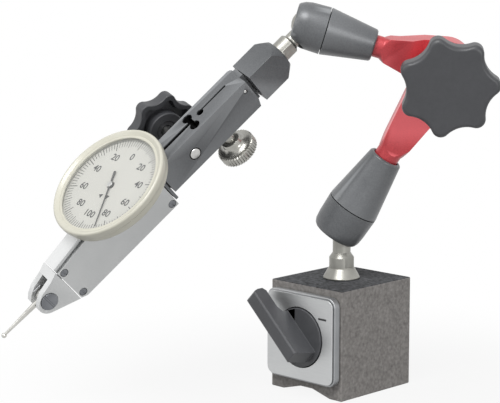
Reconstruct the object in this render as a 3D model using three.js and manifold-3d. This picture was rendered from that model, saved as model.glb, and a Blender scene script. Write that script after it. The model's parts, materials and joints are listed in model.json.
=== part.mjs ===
// Articulated magnetic stand with a lever-type dial test indicator.
// Millimetres. Z is up, the switch face of the magnetic base looks along -Y,
// the origin is the middle of the base's underside.

import * as THREE from 'three';
import { mergeVertices } from 'three/addons/utils/BufferGeometryUtils.js';
import Module from 'manifold-3d';

const wasm = await Module();
wasm.setup();

// ---------------------------------------------------------------- dimensions

const gap = 0.3; // clearance between neighbouring pieces
const fineGap = 0.15; // clearance of thin plates and pins
const overlap = 0.4; // how far joined volumes run into each other
const reach = 2; // how far a cutter runs past the face it cuts

const base = {
  width: 30,
  depth: 33,
  height: 35,
  grooveWidth: 19.8,
  grooveRoof: 5.2,
  grooveDepth: 2,
  separator: 5,
  boreRadius: 8.4,
  boreDrop: 16.2, // from the top down to the bore's axis
  plugDepth: 3,
};

const rotor = {
  frontSetback: 4.6,
  rearSetback: 0.4,
  tongueSide: 4.4,
  tongueDepth: 4,
};

const plate = {
  width: 28.8,
  height: 28.2,
  corner: 3,
  thickness: 2.5,
  floor: 0.9,
  margin: 0.6,
  faceThickness: 0.45,
  discRadius: 9.4,
};

const lever = {
  shaftRadius: 4,
  proud: 0.5,
  length: 26.5,
  tipReach: 18.8,
  tipLength: 1.2,
  tipDepth: 4.2,
  barDepth: 5.2,
  pedestal: 8.8,
  throat: 2.2,
  rootWidth: 5.2,
  crestWidth: 4.7,
  rise: 8.1,
  angle: 136.3,
};

const lowerStud = {
  shankRadius: 3,
  shankDepth: 5.4,
  skirtRadius: 5.85,
  skirtTopRadius: 4.2,
  skirtHeight: 3.4,
  collarRadius: 3.95,
  collarHeight: 3.4,
  shoulderHeight: 1.6,
  neckRadius: 2.85,
  ballHeight: 17.65,
  flatDepth: 0.6,
};

const upperStud = {
  shankRadius: 2,
  shankDepth: 7.5,
  collarRadius: 3.35,
  collarStart: 7.9,
  collarEnd: 12.1,
  shoulderHeight: 0.7,
  neckRadius: 2.5,
  flatDepth: 0.5,
};

const spigot = { radius: 1.5, height: 3.6 };

const lowerArm = {
  length: 60.2,
  ballRadius: 5.6,
  capRadius: 8.4,
  jointHeight: 6.8,
  sleeveEnd: 25.9,
  sleeveEndRadius: 5.45,
  neckRadius: 4.05,
  flareStart: 28,
  mouthTilt: 36,
  mouthShare: 0.75,
  cheekShare: 0.945,
};

const upperArm = {
  length: 44.9,
  ballRadius: 5,
  capRadius: 7.5,
  jointHeight: 6,
  sleeveEnd: 21.6,
  sleeveEndRadius: 5.05,
  neckRadius: 3.5,
  flareStart: 24,
  mouthTilt: 30,
  mouthShare: 0.84,
  cheekShare: 0.92,
};

const socket = {
  wall: 1.5,
  spigotRise: 3.5,
  boreRise: 3.7,
  boreTaper: 1.6,
  cupSetback: 0.9,
  endChamfer: 0.45,
  lipShare: 0.39,
  lipEdge: 0.12,
  lipRound: 0.45,
  cheekRiseShare: 0.46,
  beltShare: 0.976,
  beltRiseShare: 0.05,
  slotRoof: 0.9,
};

const pushRod = { radius: 1, offset: 1.95 };

const elbow = {
  eyeRadius: 8.1,
  eyeThickness: 7.85,
  step: 0.8,
  stepRun: 3.6,
  outerRun: 7.5,
  boltRadius: 2,
  coneSmall: 2.9,
  coneLarge: 4.1,
  coneStart: 0.6,
  coneRise: 3,
  coneLand: 1.4,
  shankRadius: 3.1,
  washerRadius: 5.6,
  washerThickness: 0.9,
};

const elbowKnob = {
  radius: 15.4,
  valleyShare: 0.76,
  lobes: 7,
  bodyHeight: 6.2,
  hubHeight: 20,
  hubRadius: 6.6,
  wall: 1.8,
  roof: 3,
  round: 1.7,
  dome: 2,
  insertRadius: 3.6,
  insertHeight: 8.4,
  phase: 9.1,
};

const clampKnob = {
  radius: 11.5,
  valleyShare: 0.78,
  lobes: 7,
  bodyHeight: 4.8,
  hubHeight: 6.3,
  hubRadius: 6,
  wall: 1.5,
  roof: 2.2,
  round: 1.3,
  dome: 1.5,
  insertRadius: 3.2,
  insertHeight: 3.6,
  phase: 35.2,
};

const head = {
  width: 10,
  height: 11,
  neckStart: 12.4,
  coneRadius: 4.9,
  coneLength: 3.6,
  neckEnd: 25.3,
  webLeft: 3.2,
  webRight: 1.4,
  leftNotch: 1.2,
  rightNotch: 1.7,
  cornerCutLength: 0.9,
  cornerCutHeight: 4,
  end: 65.2,
  sawStart: 31.6,
  sawEnd: 42.9,
  sawSide: 0.65,
  sawWidth: 0.5,
  sawHole: 0.95,
  lobeStation: 47,
  lobeOffset: 2.35,
  lobeRadius: 1.55,
  lobeWeb: 1.3,
  slitWidth: 1.1,
};

const dovetail = {
  depth: 4.6,
  mouthHalf: 2.6,
  rootHalf: 3.5,
  lip: 1,
  lipHalf: 3.7,
  top: 4.6,
  tongueBottom: 5.3,
  lipBottom: 9,
};

const clampBolt = { station: 52.9, height: -0.5, radius: 1.75, hubDistance: 8.1, grip: 3.4 };

const fineScrew = {
  station: 41.4,
  side: 0.9,
  radius: 1.85,
  tip: 2,
  tipLength: 2.2,
  tipRadius: 0.7,
  headStart: 14,
  headRadius: 6.9,
  headThickness: 1.6,
  teeth: 40,
  toothDepth: 0.35,
  edge: 0.35,
  relief: 4.6,
  reliefDepth: 0.5,
};

const stopPin = { station: 28.9, height: 2.6, radius: 0.55, depth: 3 };

const gauge = {
  start: 66.8,
  halfWidth: 4,
  coverThickness: 0.8,
  bottom: -10.5,
  top: 5.9,
  caseLength: 41.4,
  cornerCut: 2,
  wallStart: 3.2,
  wallEnd: 2.7,
  wallSide: 1.2,
  wallTop: 2.9,
  wallBottom: 1.9,
  railStart: 95,
  railStartHeight: 6.8,
  railEndHeight: 4.9,
  railDrop: 1.6,
  railGroove: 0.65,
  railGrooveHeight: 0.6,
};

const nose = {
  length: 11.2,
  pivotRun: 7.3,
  pivotHeight: -1.65,
  tipRadius: 4.1,
  topHeight: 4.3,
  shoulderRun: 3,
  shoulderHeight: 3,
  browRun: 7.5,
  browHeight: 1.9,
  crownRun: 9.9,
  crownHeight: 0.4,
  slotHalf: 1.7,
  slotRun: 3,
  heelAngle: -62,
  browAngle: 6,
};

const pivot = { radius: 1, headRadius: 2.8, headHeight: 0.55, slotWidth: 0.6, slotDepth: 0.35 };

const stylus = {
  hubRadius: 2.3,
  hubFrom: -0.75,
  hubTo: 0.75,
  rootRadius: 0.85,
  neckRadius: 0.42,
  ballRadius: 0.83,
  length: 16.9,
};

const movement = {
  leverFrom: -1.5,
  leverTo: -0.95,
  leverLength: 31,
  leverWidth: 2.2,
  sectorHalf: 2.6,
  sectorDepth: 3,
  fingerRun: 1.6,
  fingerRise: 3,
  fingerWidth: 1.3,
  wheelRadius: 4.1,
  wheelFrom: 0.6,
  wheelTo: 1.2,
  wheelStation: 83,
  arborRadius: 0.5,
  arborSetIn: 0.6,
};

const dial = {
  station: 78,
  radius: 19.7,
  openRadius: 16.2,
  bottom: 7.4,
  top: 12.3,
  footRadius: 17.3,
  beltRadius: 19.3,
  beltHeight: 9.6,
  crownHeight: 10.8,
  brimRadius: 19.3,
  brimHeight: 11.7,
  rimRadius: 18.6,
  webThickness: 1.9,
  webRadius: 12.3,
  wall: 2.1,
  lipHeight: 0.5,
  grooveRadius: 17.8,
  grooveWidth: 0.4,
  grooveDepth: 0.3,
  faceThickness: 0.4,
  crystalThickness: 0.4,
  seatRadius: 14,
  seatThickness: 1.2,
  pointerHeight: 10.3,
  pointerThickness: 0.25,
  pointerLength: 15.2,
  pointerTail: 5,
  pointerWidth: 0.8,
  pointerTipWidth: 0.24,
  pointerHub: 1.3,
  pointerAngle: 216,
};

const caseScrew = { headRadius: 1.2, headHeight: 0.6, shankRadius: 0.5, shankLength: 3, slot: 0.4 };

// Pose of the articulated arm, degrees.
const pose = {
  lowerHeading: 28.7,
  lowerTilt: 32.9,
  lowerRoll: -166.28,
  elbowFold: -74.47,
  headBendDirection: 157.3,
  headBend: 118.09,
  headSpin: -132.42,
};

const paint = {
  hammertone: { color: 0x77736f, roughness: 0.6, metalness: 0.25 },
  brass: { color: 0xb59a5a, roughness: 0.4, metalness: 0.9 },
  magnet: { color: 0x55585c, roughness: 0.5, metalness: 0.7 },
  darkPlastic: { color: 0x4a4b4e, roughness: 0.55, metalness: 0.05 },
  backing: { color: 0x8d8f91, roughness: 0.5, metalness: 0.6 },
  silver: { color: 0xd3d5d6, roughness: 0.3, metalness: 0.85 },
  stainless: { color: 0xc6c6c2, roughness: 0.22, metalness: 0.95 },
  steel: { color: 0x9fa1a3, roughness: 0.3, metalness: 0.95 },
  anodised: { color: 0x5a5c5e, roughness: 0.42, metalness: 0.55 },
  red: { color: 0xc22a33, roughness: 0.33, metalness: 0.6 },
  knob: { color: 0x3b3d41, roughness: 0.5, metalness: 0.02 },
  satin: { color: 0xbfc1c1, roughness: 0.38, metalness: 0.75 },
  cream: { color: 0xe2e0d4, roughness: 0.4, metalness: 0.05 },
  dialWhite: { color: 0xeeeeea, roughness: 0.6, metalness: 0 },
  glass: { color: 0xf4f7f7, roughness: 0.05, metalness: 0 },
  black: { color: 0x17181a, roughness: 0.5, metalness: 0.1 },
};

// ------------------------------------------------------------------- helpers

const finest = 56;
const fine = 40;
const medium = 28;
const coarse = 16;
const tiny = 10;

const radians = THREE.MathUtils.degToRad;

function weld(source) {
  const bare = source.clone();
  bare.deleteAttribute('normal');
  bare.deleteAttribute('uv');
  const merged = mergeVertices(bare, 1e-5);
  const place = merged.getAttribute('position');
  const index = merged.getIndex().array;
  const kept = [];
  for (let i = 0; i < index.length; i += 3) {
    const [a, b, c] = [index[i], index[i + 1], index[i + 2]];
    if (a !== b && b !== c && c !== a) kept.push(a, b, c);
  }
  const [p, q, r] = [new THREE.Vector3(), new THREE.Vector3(), new THREE.Vector3()];
  let volume = 0;
  for (let i = 0; i < kept.length; i += 3) {
    p.fromBufferAttribute(place, kept[i]);
    q.fromBufferAttribute(place, kept[i + 1]);
    r.fromBufferAttribute(place, kept[i + 2]);
    volume += p.dot(q.cross(r));
  }
  if (volume < 0) {
    for (let i = 0; i < kept.length; i += 3) {
      [kept[i + 1], kept[i + 2]] = [kept[i + 2], kept[i + 1]];
    }
  }
  merged.setIndex(kept);
  return merged;
}

function solid(geometry) {
  const welded = weld(geometry);
  return new wasm.Manifold(new wasm.Mesh({
    numProp: 3,
    vertProperties: new Float32Array(welded.getAttribute('position').array),
    triVerts: new Uint32Array(welded.getIndex().array),
  }));
}

function join(first, ...others) {
  return others.reduce((sum, next) => sum.add(solid(next)), asSolid(first));
}

function cut(first, ...others) {
  return others.reduce((sum, next) => sum.subtract(asSolid(next)), asSolid(first));
}

function common(first, ...others) {
  return others.reduce((sum, next) => sum.intersect(asSolid(next)), asSolid(first));
}

function asSolid(thing) {
  return thing instanceof THREE.BufferGeometry ? solid(thing) : thing;
}

function asGeometry(thing) {
  if (thing instanceof THREE.BufferGeometry) return weld(thing);
  const mesh = thing.getMesh();
  const geometry = new THREE.BufferGeometry();
  const count = mesh.vertProperties.length / mesh.numProp;
  const place = new Float32Array(count * 3);
  for (let i = 0; i < count; i += 1) {
    for (let k = 0; k < 3; k += 1) place[3 * i + k] = mesh.vertProperties[mesh.numProp * i + k];
  }
  geometry.setAttribute('position', new THREE.BufferAttribute(place, 3));
  geometry.setIndex(Array.from(mesh.triVerts));
  return geometry;
}

// A body turned about Z from a profile of [radius, height] pairs.
function turned(profile, segments = medium) {
  const closed = profile.map(([x, y]) => new THREE.Vector2(x, y));
  const [first, last] = [profile[0], profile[profile.length - 1]];
  if (first[0] > 0 || last[0] > 0) closed.push(closed[0].clone());
  return new THREE.LatheGeometry(closed, segments).rotateX(Math.PI / 2);
}

function rod(radius, from, to, segments = medium) {
  return turned([[0, from], [radius, from], [radius, to], [0, to]], segments);
}

function box(x0, x1, y0, y1, z0, z1) {
  const shape = new THREE.BoxGeometry(x1 - x0, y1 - y0, z1 - z0);
  return shape.translate((x0 + x1) / 2, (y0 + y1) / 2, (z0 + z1) / 2);
}

function shapeOf(points) {
  return new THREE.Shape(points.map(([x, y]) => new THREE.Vector2(x, y)));
}

function prism(points, from, to) {
  const options = { depth: to - from, bevelEnabled: false };
  return new THREE.ExtrudeGeometry(shapeOf(points), options).translate(0, 0, from);
}

const axisX = new THREE.Vector3(1, 0, 0);
const axisY = new THREE.Vector3(0, 1, 0);
const axisZ = new THREE.Vector3(0, 0, 1);

function basis(x, y, z) {
  return new THREE.Matrix4().makeBasis(x, y, z);
}

// Local Z onto X: outline drawn as [z, y], depth along X.
function acrossX(geometry) {
  return geometry.applyMatrix4(basis(axisZ, axisY, axisX));
}

// Local Z onto Y: outline drawn as [x, z], depth along Y.
function acrossY(geometry) {
  return geometry.applyMatrix4(basis(axisX, axisZ, axisY));
}

function arc(centreX, centreY, radius, from, to, steps) {
  return Array.from({ length: steps + 1 }, (_, i) => {
    const angle = radians(from + ((to - from) * i) / steps);
    return [centreX + radius * Math.cos(angle), centreY + radius * Math.sin(angle)];
  });
}

function roundedSquare(width, height, corner, centreY) {
  const [x, y] = [width / 2 - corner, height / 2 - corner];
  const steps = 5;
  return [
    ...arc(x, centreY + y, corner, 0, 90, steps),
    ...arc(-x, centreY + y, corner, 90, 180, steps),
    ...arc(-x, centreY - y, corner, 180, 270, steps),
    ...arc(x, centreY - y, corner, 270, 360, steps),
  ];
}

const part = new THREE.Group();
part.name = 'magnetic_indicator_stand';

function add(name, shape, finish, frame = new THREE.Matrix4()) {
  const geometry = asGeometry(shape).applyMatrix4(frame);
  const flat = geometry.toNonIndexed();
  flat.computeVertexNormals();
  const mesh = new THREE.Mesh(flat, new THREE.MeshStandardMaterial(paint[finish]));
  mesh.name = name;
  part.add(mesh);
}

// -------------------------------------------------------------------- frames

function turnZ(angle) {
  return new THREE.Matrix4().makeRotationZ(radians(angle));
}

function turnY(angle) {
  return new THREE.Matrix4().makeRotationY(radians(angle));
}

function shift(x, y, z) {
  return new THREE.Matrix4().makeTranslation(x, y, z);
}

const upright = shift(0, 0, base.height);

const lowerBallFrame = shift(0, 0, base.height + lowerStud.ballHeight);

const lowerFrame = lowerBallFrame.clone()
  .multiply(turnZ(pose.lowerHeading))
  .multiply(turnY(pose.lowerTilt))
  .multiply(turnZ(pose.lowerRoll));

const elbowFrame = lowerFrame.clone().multiply(shift(0, 0, lowerArm.length));

const upperFrame = elbowFrame.clone()
  .multiply(turnY(pose.elbowFold))
  .multiply(shift(0, 0, -upperArm.length));

const headFrame = upperFrame.clone()
  .multiply(turnZ(pose.headBendDirection))
  .multiply(turnY(pose.headBend))
  .multiply(turnZ(pose.headSpin));

// -------------------------------------------------------------- magnetic base

const [halfWidth, halfDepth] = [base.width / 2, base.depth / 2];
const boreHeight = base.height - base.boreDrop;

function grooveCutter() {
  const outline = [
    [-base.grooveWidth / 2, 0],
    [-base.grooveRoof / 2, base.grooveDepth],
    [base.grooveRoof / 2, base.grooveDepth],
    [base.grooveWidth / 2, 0],
    [base.grooveWidth / 2, -reach],
    [-base.grooveWidth / 2, -reach],
  ];
  return acrossY(prism(outline, -halfDepth - reach, halfDepth + reach));
}

function boreCutter(radius = base.boreRadius) {
  const cutter = rod(radius, -halfDepth - reach, halfDepth + reach, fine);
  return acrossY(cutter).translate(0, 0, boreHeight);
}

const studHoleRadius = lowerStud.shankRadius + gap;
const studHoleFloor = base.height - lowerStud.shankDepth - gap;
const studHole = rod(studHoleRadius, studHoleFloor, base.height + reach);

const poleInner = base.separator / 2;
for (const [name, side] of [['pole_left', -1], ['pole_right', 1]]) {
  const inner = side * poleInner;
  const outer = side * halfWidth;
  const blank = box(Math.min(inner, outer), Math.max(inner, outer), -halfDepth, halfDepth, 0, base.height);
  add(name, cut(blank, grooveCutter(), boreCutter(), studHole), 'hammertone');
}

const separatorHalf = poleInner - gap;
const separatorUpper = box(
  -separatorHalf, separatorHalf, -halfDepth, halfDepth, boreHeight, base.height,
);
const separatorLower = box(
  -separatorHalf, separatorHalf, -halfDepth, halfDepth, base.grooveDepth, boreHeight,
);
add('separator_upper', cut(separatorUpper, boreCutter(), studHole), 'brass');
add('separator_lower', cut(separatorLower, boreCutter()), 'brass');

const rotorRadius = base.boreRadius - gap;
const rotorFront = -halfDepth + rotor.frontSetback;
const plugFront = halfDepth - base.plugDepth;
const rotorRear = plugFront - rotor.rearSetback;
const tongueHalf = rotor.tongueSide / 2;
const tongueSlotHalf = tongueHalf + gap;

const rotorBlank = acrossY(rod(rotorRadius, rotorFront, rotorRear, fine));
const rotorSlot = box(
  -tongueSlotHalf, tongueSlotHalf,
  rotorFront - reach, rotorFront + rotor.tongueDepth + gap,
  -tongueSlotHalf, tongueSlotHalf,
);
add('magnet_rotor', cut(rotorBlank, rotorSlot), 'magnet', shift(0, 0, boreHeight));

const plugProfile = [
  [0, plugFront],
  [rotorRadius, plugFront],
  [rotorRadius, halfDepth - overlap],
  [rotorRadius - overlap, halfDepth],
  [0, halfDepth],
];
add('rear_plug', acrossY(turned(plugProfile, fine)), 'steel', shift(0, 0, boreHeight));

// Switch plate: a backing plate with a sheet-metal face.

const plateBack = -halfDepth - fineGap;
const plateFront = plateBack - plate.thickness;
const faceBack = plateFront - fineGap;
const faceFront = faceBack - plate.faceThickness;
const discHole = plate.discRadius + gap;

const backingBlank = acrossY(prism(
  roundedSquare(plate.width, plate.height, plate.corner, 0), plateFront, plateBack,
));
const discRecess = acrossY(rod(discHole, plateFront - reach, plateBack - plate.floor, fine));
const shaftHole = acrossY(rod(lever.shaftRadius + gap, plateFront, plateBack + reach));
add('backing_plate', cut(backingBlank, discRecess, shaftHole), 'backing', shift(0, 0, boreHeight));

const faceOutline = roundedSquare(
  plate.width - 2 * plate.margin, plate.height - 2 * plate.margin, plate.corner - plate.margin, 0,
);
const faceBlank = acrossY(prism(faceOutline, faceFront, faceBack));
const faceHole = acrossY(rod(discHole, faceFront - reach, faceBack + reach, fine));
add('face_plate', cut(faceBlank, faceHole), 'silver', shift(0, 0, boreHeight));

// Switch lever: a disc with a tapered grip, and the shaft that turns the magnet.

const discBack = plateBack - plate.floor - gap;
const discFront = faceFront - lever.proud;
const gripFoot = discFront + overlap;
const gripCrest = discFront - lever.rise;
const gripRoot = lever.tipReach - lever.length;

const discAndShaft = acrossY(turned([
  [0, discFront],
  [plate.discRadius - fineGap, discFront],
  [plate.discRadius, discFront + fineGap],
  [plate.discRadius, discBack],
  [lever.shaftRadius, discBack],
  [lever.shaftRadius, rotorFront - gap],
  [0, rotorFront - gap],
], fine));

const tongue = box(
  -tongueHalf, tongueHalf,
  rotorFront - gap - overlap, rotorFront + rotor.tongueDepth,
  -tongueHalf, tongueHalf,
);

const gripSection = [
  [-lever.rootWidth / 2, gripFoot],
  [lever.rootWidth / 2, gripFoot],
  [lever.crestWidth / 2 + fineGap, gripCrest + overlap],
  [lever.crestWidth / 2 - overlap, gripCrest],
  [-lever.crestWidth / 2 + overlap, gripCrest],
  [-lever.crestWidth / 2 - fineGap, gripCrest + overlap],
];
const gripBar = prism(gripSection, gripRoot, lever.tipReach);
const gripChamfer = overlap * 4;
const gripSide = [
  [gripRoot - reach, gripFoot + reach],
  [gripRoot - reach + gripChamfer, gripFoot],
  [gripRoot + gripChamfer, gripCrest - fineGap],
  [lever.tipReach - lever.tipLength, gripCrest - fineGap],
  [lever.tipReach - overlap, gripCrest + lever.tipLength / 2],
  [lever.tipReach, gripCrest + lever.tipDepth / 2],
  [lever.tipReach, gripCrest + lever.tipDepth],
  [lever.tipReach - lever.tipLength, gripCrest + lever.barDepth],
  [lever.pedestal + lever.throat, gripCrest + lever.barDepth],
  [lever.pedestal + overlap, gripCrest + lever.barDepth + lever.throat / 2],
  [lever.pedestal, gripCrest + lever.barDepth + lever.throat],
  [lever.pedestal, gripFoot + reach],
];
const gripTrim = acrossX(prism(gripSide, -lever.rootWidth, lever.rootWidth));
const grip = asGeometry(common(gripBar, gripTrim)).applyMatrix4(
  new THREE.Matrix4().makeRotationY(radians(90 - lever.angle)),
);
add('switch_lever', join(discAndShaft, tongue, grip), 'darkPlastic', shift(0, 0, boreHeight));

// ---------------------------------------------------------------- ball studs

function flatCutters(radius, depth, from, to) {
  const face = radius - depth;
  return [
    box(face, radius + reach, -radius - reach, radius + reach, from, to),
    box(-radius - reach, -face, -radius - reach, radius + reach, from, to),
  ];
}

const collarBase = lowerStud.skirtHeight;
const collarTop = collarBase + lowerStud.collarHeight;
const shoulderTop = collarTop + lowerStud.shoulderHeight;
const lowerNeckTop = lowerStud.ballHeight - lowerArm.ballRadius + overlap;
const spigotTop = lowerNeckTop + spigot.height;

const lowerStudBody = turned([
  [0, -lowerStud.shankDepth],
  [lowerStud.shankRadius, -lowerStud.shankDepth],
  [lowerStud.shankRadius, fineGap],
  [lowerStud.skirtRadius, fineGap],
  [lowerStud.skirtRadius, fineGap * 3],
  [lowerStud.skirtTopRadius, collarBase],
  [lowerStud.collarRadius, collarBase],
  [lowerStud.collarRadius, collarTop],
  [lowerStud.neckRadius, shoulderTop],
  [lowerStud.neckRadius, lowerNeckTop],
  [spigot.radius, lowerNeckTop],
  [spigot.radius, spigotTop],
  [0, spigotTop],
], fine);
const lowerFlats = flatCutters(
  lowerStud.collarRadius, lowerStud.flatDepth, collarBase + gap, collarTop + lowerStud.shoulderHeight / 2,
);
add('lower_stud', cut(lowerStudBody, ...lowerFlats), 'stainless', upright);

// Ball with a flat foot and a blind bore for the stud's spigot, which comes from below.
function ballProfile(radius) {
  const chord = radius - overlap - gap;
  const cutAngle = -THREE.MathUtils.radToDeg(Math.asin(chord / radius));
  const boreRadius = spigot.radius + gap;
  const boreTop = -(radius - overlap) + spigot.height + gap;
  const rim = arc(0, 0, radius, cutAngle, 90, 11);
  rim[rim.length - 1] = [0, radius];
  const outer = [[0, -chord], ...rim];
  const bore = rod(boreRadius, -radius, boreTop, coarse);
  return cut(turned(outer, medium), bore);
}

add('lower_ball', ballProfile(lowerArm.ballRadius), 'steel', lowerBallFrame);

const upperShoulder = upperStud.collarStart - upperStud.shoulderHeight;
const upperNeckEnd = upperArm.ballRadius - overlap;
const upperStudBody = turned([
  [0, upperNeckEnd - spigot.height],
  [spigot.radius, upperNeckEnd - spigot.height],
  [spigot.radius, upperNeckEnd],
  [upperStud.neckRadius, upperNeckEnd],
  [upperStud.neckRadius, upperShoulder],
  [upperStud.collarRadius, upperStud.collarStart],
  [upperStud.collarRadius, upperStud.collarEnd],
  [upperStud.shankRadius, upperStud.collarEnd],
  [upperStud.shankRadius, upperStud.collarEnd + upperStud.shankDepth],
  [0, upperStud.collarEnd + upperStud.shankDepth],
], medium);
const upperFlats = flatCutters(
  upperStud.collarRadius, upperStud.flatDepth, upperStud.collarStart, upperStud.collarEnd - overlap,
);
add('upper_stud', cut(upperStudBody, ...upperFlats), 'stainless', headFrame);

const flipX = new THREE.Matrix4().makeRotationX(Math.PI);
add('upper_ball', ballProfile(upperArm.ballRadius), 'steel', headFrame.clone().multiply(flipX));

// ---------------------------------------------------------------- arm sockets

function mouthRadius(arm, neckRadius, depth) {
  const tilt = radians(arm.mouthTilt);
  return depth * Math.tan(tilt) + neckRadius / Math.cos(tilt) + gap;
}

function capProfile(arm, neckRadius) {
  const seat = arm.ballRadius + gap;
  const lip = -socket.lipShare * arm.ballRadius;
  const mouth = -arm.mouthShare * arm.ballRadius;
  const mouthEdge = mouthRadius(arm, neckRadius, -mouth);
  const spigotRadius = arm.capRadius - socket.wall;
  const spigotFoot = arm.jointHeight - socket.spigotRise;
  const lipAngle = THREE.MathUtils.radToDeg(Math.asin(lip / seat));
  const seatArc = arc(0, 0, seat, 0, lipAngle, 4);
  return [
    [mouthEdge + socket.lipEdge, mouth],
    [mouthEdge + socket.lipEdge + socket.lipRound, mouth + socket.lipRound],
    [arm.capRadius * arm.cheekShare, -socket.cheekRiseShare * arm.ballRadius],
    [arm.capRadius * socket.beltShare, -socket.beltRiseShare * arm.ballRadius],
    [arm.capRadius, arm.jointHeight - gap],
    [spigotRadius + gap, arm.jointHeight - gap],
    [spigotRadius + gap, spigotFoot - gap],
    [seat + fineGap, spigotFoot - gap],
    [seat + fineGap, overlap],
    ...seatArc,
    [mouthEdge, mouth],
  ];
}

function sleeveProfile(arm) {
  const spigotRadius = arm.capRadius - socket.wall;
  const spigotBore = arm.ballRadius + gap;
  const spigotFoot = arm.jointHeight - socket.spigotRise;
  const boreEnd = arm.jointHeight + socket.boreRise;
  const neckBore = arm.neckRadius + gap;
  return [
    [spigotBore, spigotFoot],
    [spigotRadius, spigotFoot],
    [spigotRadius, arm.jointHeight],
    [arm.capRadius, arm.jointHeight],
    [arm.sleeveEndRadius, arm.sleeveEnd - socket.endChamfer],
    [arm.sleeveEndRadius - socket.endChamfer, arm.sleeveEnd],
    [neckBore, arm.sleeveEnd],
    [neckBore, boreEnd + socket.boreTaper],
    [spigotBore, boreEnd],
  ];
}

function cupProfile(arm) {
  const seat = arm.ballRadius + gap;
  const rimAngle = THREE.MathUtils.radToDeg(Math.acos(arm.ballRadius / seat));
  const seatArc = arc(0, 0, seat, rimAngle, 90, 8);
  seatArc[seatArc.length - 1] = [0, seat];
  const top = arm.jointHeight + socket.boreRise - socket.cupSetback;
  return [[0, top], [arm.ballRadius, top], ...seatArc];
}

// The eye of an arm lies on one side of the arm's axis, so that two arms lap.
function armBody(arm, side) {
  const eye = arm.length;
  const rim = elbow.eyeRadius;
  const neck = arm.neckRadius;
  const neckStart = arm.jointHeight + socket.boreRise + socket.boreTaper + gap;
  const run = eye - arm.flareStart;
  const cornerAngle = Math.atan2(-run, neck);
  const tangentAngle = cornerAngle + Math.acos(rim / Math.hypot(run, neck));
  const degrees = THREE.MathUtils.radToDeg(tangentAngle);
  const outline = [[neck, arm.flareStart], ...arc(0, eye, rim, degrees, 180 - degrees, 22), [-neck, arm.flareStart]];
  const plan = acrossY(prism(outline, -elbow.eyeThickness - reach, elbow.eyeThickness + reach));
  const far = eye + rim + reach;
  const lap = eye - rim - elbow.step;
  const section = [
    [arm.flareStart, -neck],
    [lap - elbow.stepRun, -neck],
    [lap, fineGap],
    [far, fineGap],
    [far, elbow.eyeThickness + fineGap],
    [lap, elbow.eyeThickness + fineGap],
    [lap - elbow.outerRun, neck],
    [arm.flareStart, neck],
  ].map(([z, y]) => [z, side * y]);
  const elevation = acrossX(prism(section, -rim - reach, rim + reach));
  const wide = rim + elbow.eyeThickness;
  const cone = turned([
    [0, arm.flareStart],
    [neck, arm.flareStart],
    [wide, lap + elbow.step],
    [wide, far],
    [0, far],
  ], fine);
  const flare = common(cone, plan, elevation);
  const neckRod = rod(neck, neckStart, arm.flareStart + overlap, fine);
  const whole = asSolid(flare).add(solid(neckRod));
  const coneBore = acrossY(rod(elbow.coneLarge + gap, -reach, coneTop + gap));
  const shankBore = acrossY(rod(elbow.shankRadius + gap, 0, elbow.eyeThickness + reach));
  const rodBore = rod(pushRod.radius + gap, neckStart - reach, eye, coarse).translate(0, pushRod.offset, 0);
  const mirror = new THREE.Matrix4().makeScale(1, side, 1);
  const bores = [coneBore, shankBore].map((bore) => bore.translate(0, 0, eye).applyMatrix4(mirror));
  return cut(whole, ...bores, rodBore.applyMatrix4(mirror));
}

const coneTop = elbow.coneStart + elbow.coneRise + elbow.coneLand;

function upperSlot() {
  const half = upperStud.neckRadius + gap;
  const crown = socket.slotRoof - half;
  const outline = [
    ...arc(crown, 0, half, -90, 90, 8),
    [-upperArm.capRadius, half],
    [-upperArm.capRadius, -half],
  ];
  const slot = acrossX(prism(outline, 0, upperArm.capRadius + reach));
  return slot.applyMatrix4(turnZ(pose.headBendDirection));
}

const sockets = [
  ['lower', lowerArm, lowerStud.neckRadius, lowerFrame, 1],
  ['upper', upperArm, upperStud.neckRadius, upperFrame, -1],
];

for (const [name, arm, neckRadius, frame, side] of sockets) {
  const cap = turned(capProfile(arm, neckRadius), fine);
  const shell = name === 'upper' ? cut(cap, upperSlot()) : cap;
  add(`${name}_cap`, shell, 'anodised', frame);
  add(`${name}_sleeve`, turned(sleeveProfile(arm), fine), 'anodised', frame);
  add(`${name}_pressure_cup`, turned(cupProfile(arm), medium), 'brass', frame);
  const rodStart = arm.jointHeight + socket.boreRise - socket.cupSetback + gap;
  const rodEnd = arm.length - elbow.coneLarge - gap;
  const push = rod(pushRod.radius, rodStart, rodEnd, coarse).translate(0, side * pushRod.offset, 0);
  add(`${name}_push_rod`, push, 'steel', frame);
  add(`${name}_arm`, armBody(arm, side), 'red', frame);
}

// ---------------------------------------------------------------------- elbow

// Local Z of a turned piece onto the elbow's hinge axis, which is Y of the arm frames.
const hingeFrame = elbowFrame.clone().multiply(basis(axisX, axisZ.clone().negate(), axisY));

const eyeFace = elbow.eyeThickness + fineGap;
const washerFoot = eyeFace + gap;
const washerTop = washerFoot + elbow.washerThickness;

const frontCone = turned([
  [elbow.boltRadius + gap, elbow.coneStart],
  [elbow.coneSmall, elbow.coneStart],
  [elbow.coneLarge, elbow.coneStart + elbow.coneRise],
  [elbow.coneLarge, coneTop],
  [elbow.shankRadius, coneTop],
  [elbow.shankRadius, eyeFace],
  [elbow.boltRadius + gap, eyeFace],
], medium);
add('elbow_clamp_cone', frontCone, 'steel', hingeFrame);

const boltEnd = washerTop + gap + elbowKnob.insertHeight + gap;
const boltProfile = [
  [0, -eyeFace],
  [elbow.shankRadius - fineGap, -eyeFace],
  [elbow.shankRadius, -eyeFace + fineGap],
  [elbow.shankRadius, -coneTop],
  [elbow.coneLarge, -coneTop],
  [elbow.coneLarge, -elbow.coneStart - elbow.coneRise],
  [elbow.coneSmall, -elbow.coneStart],
  [elbow.boltRadius, -elbow.coneStart],
  [elbow.boltRadius, boltEnd],
  [0, boltEnd],
];
add('elbow_bolt', turned(boltProfile, medium), 'steel', hingeFrame);

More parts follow.
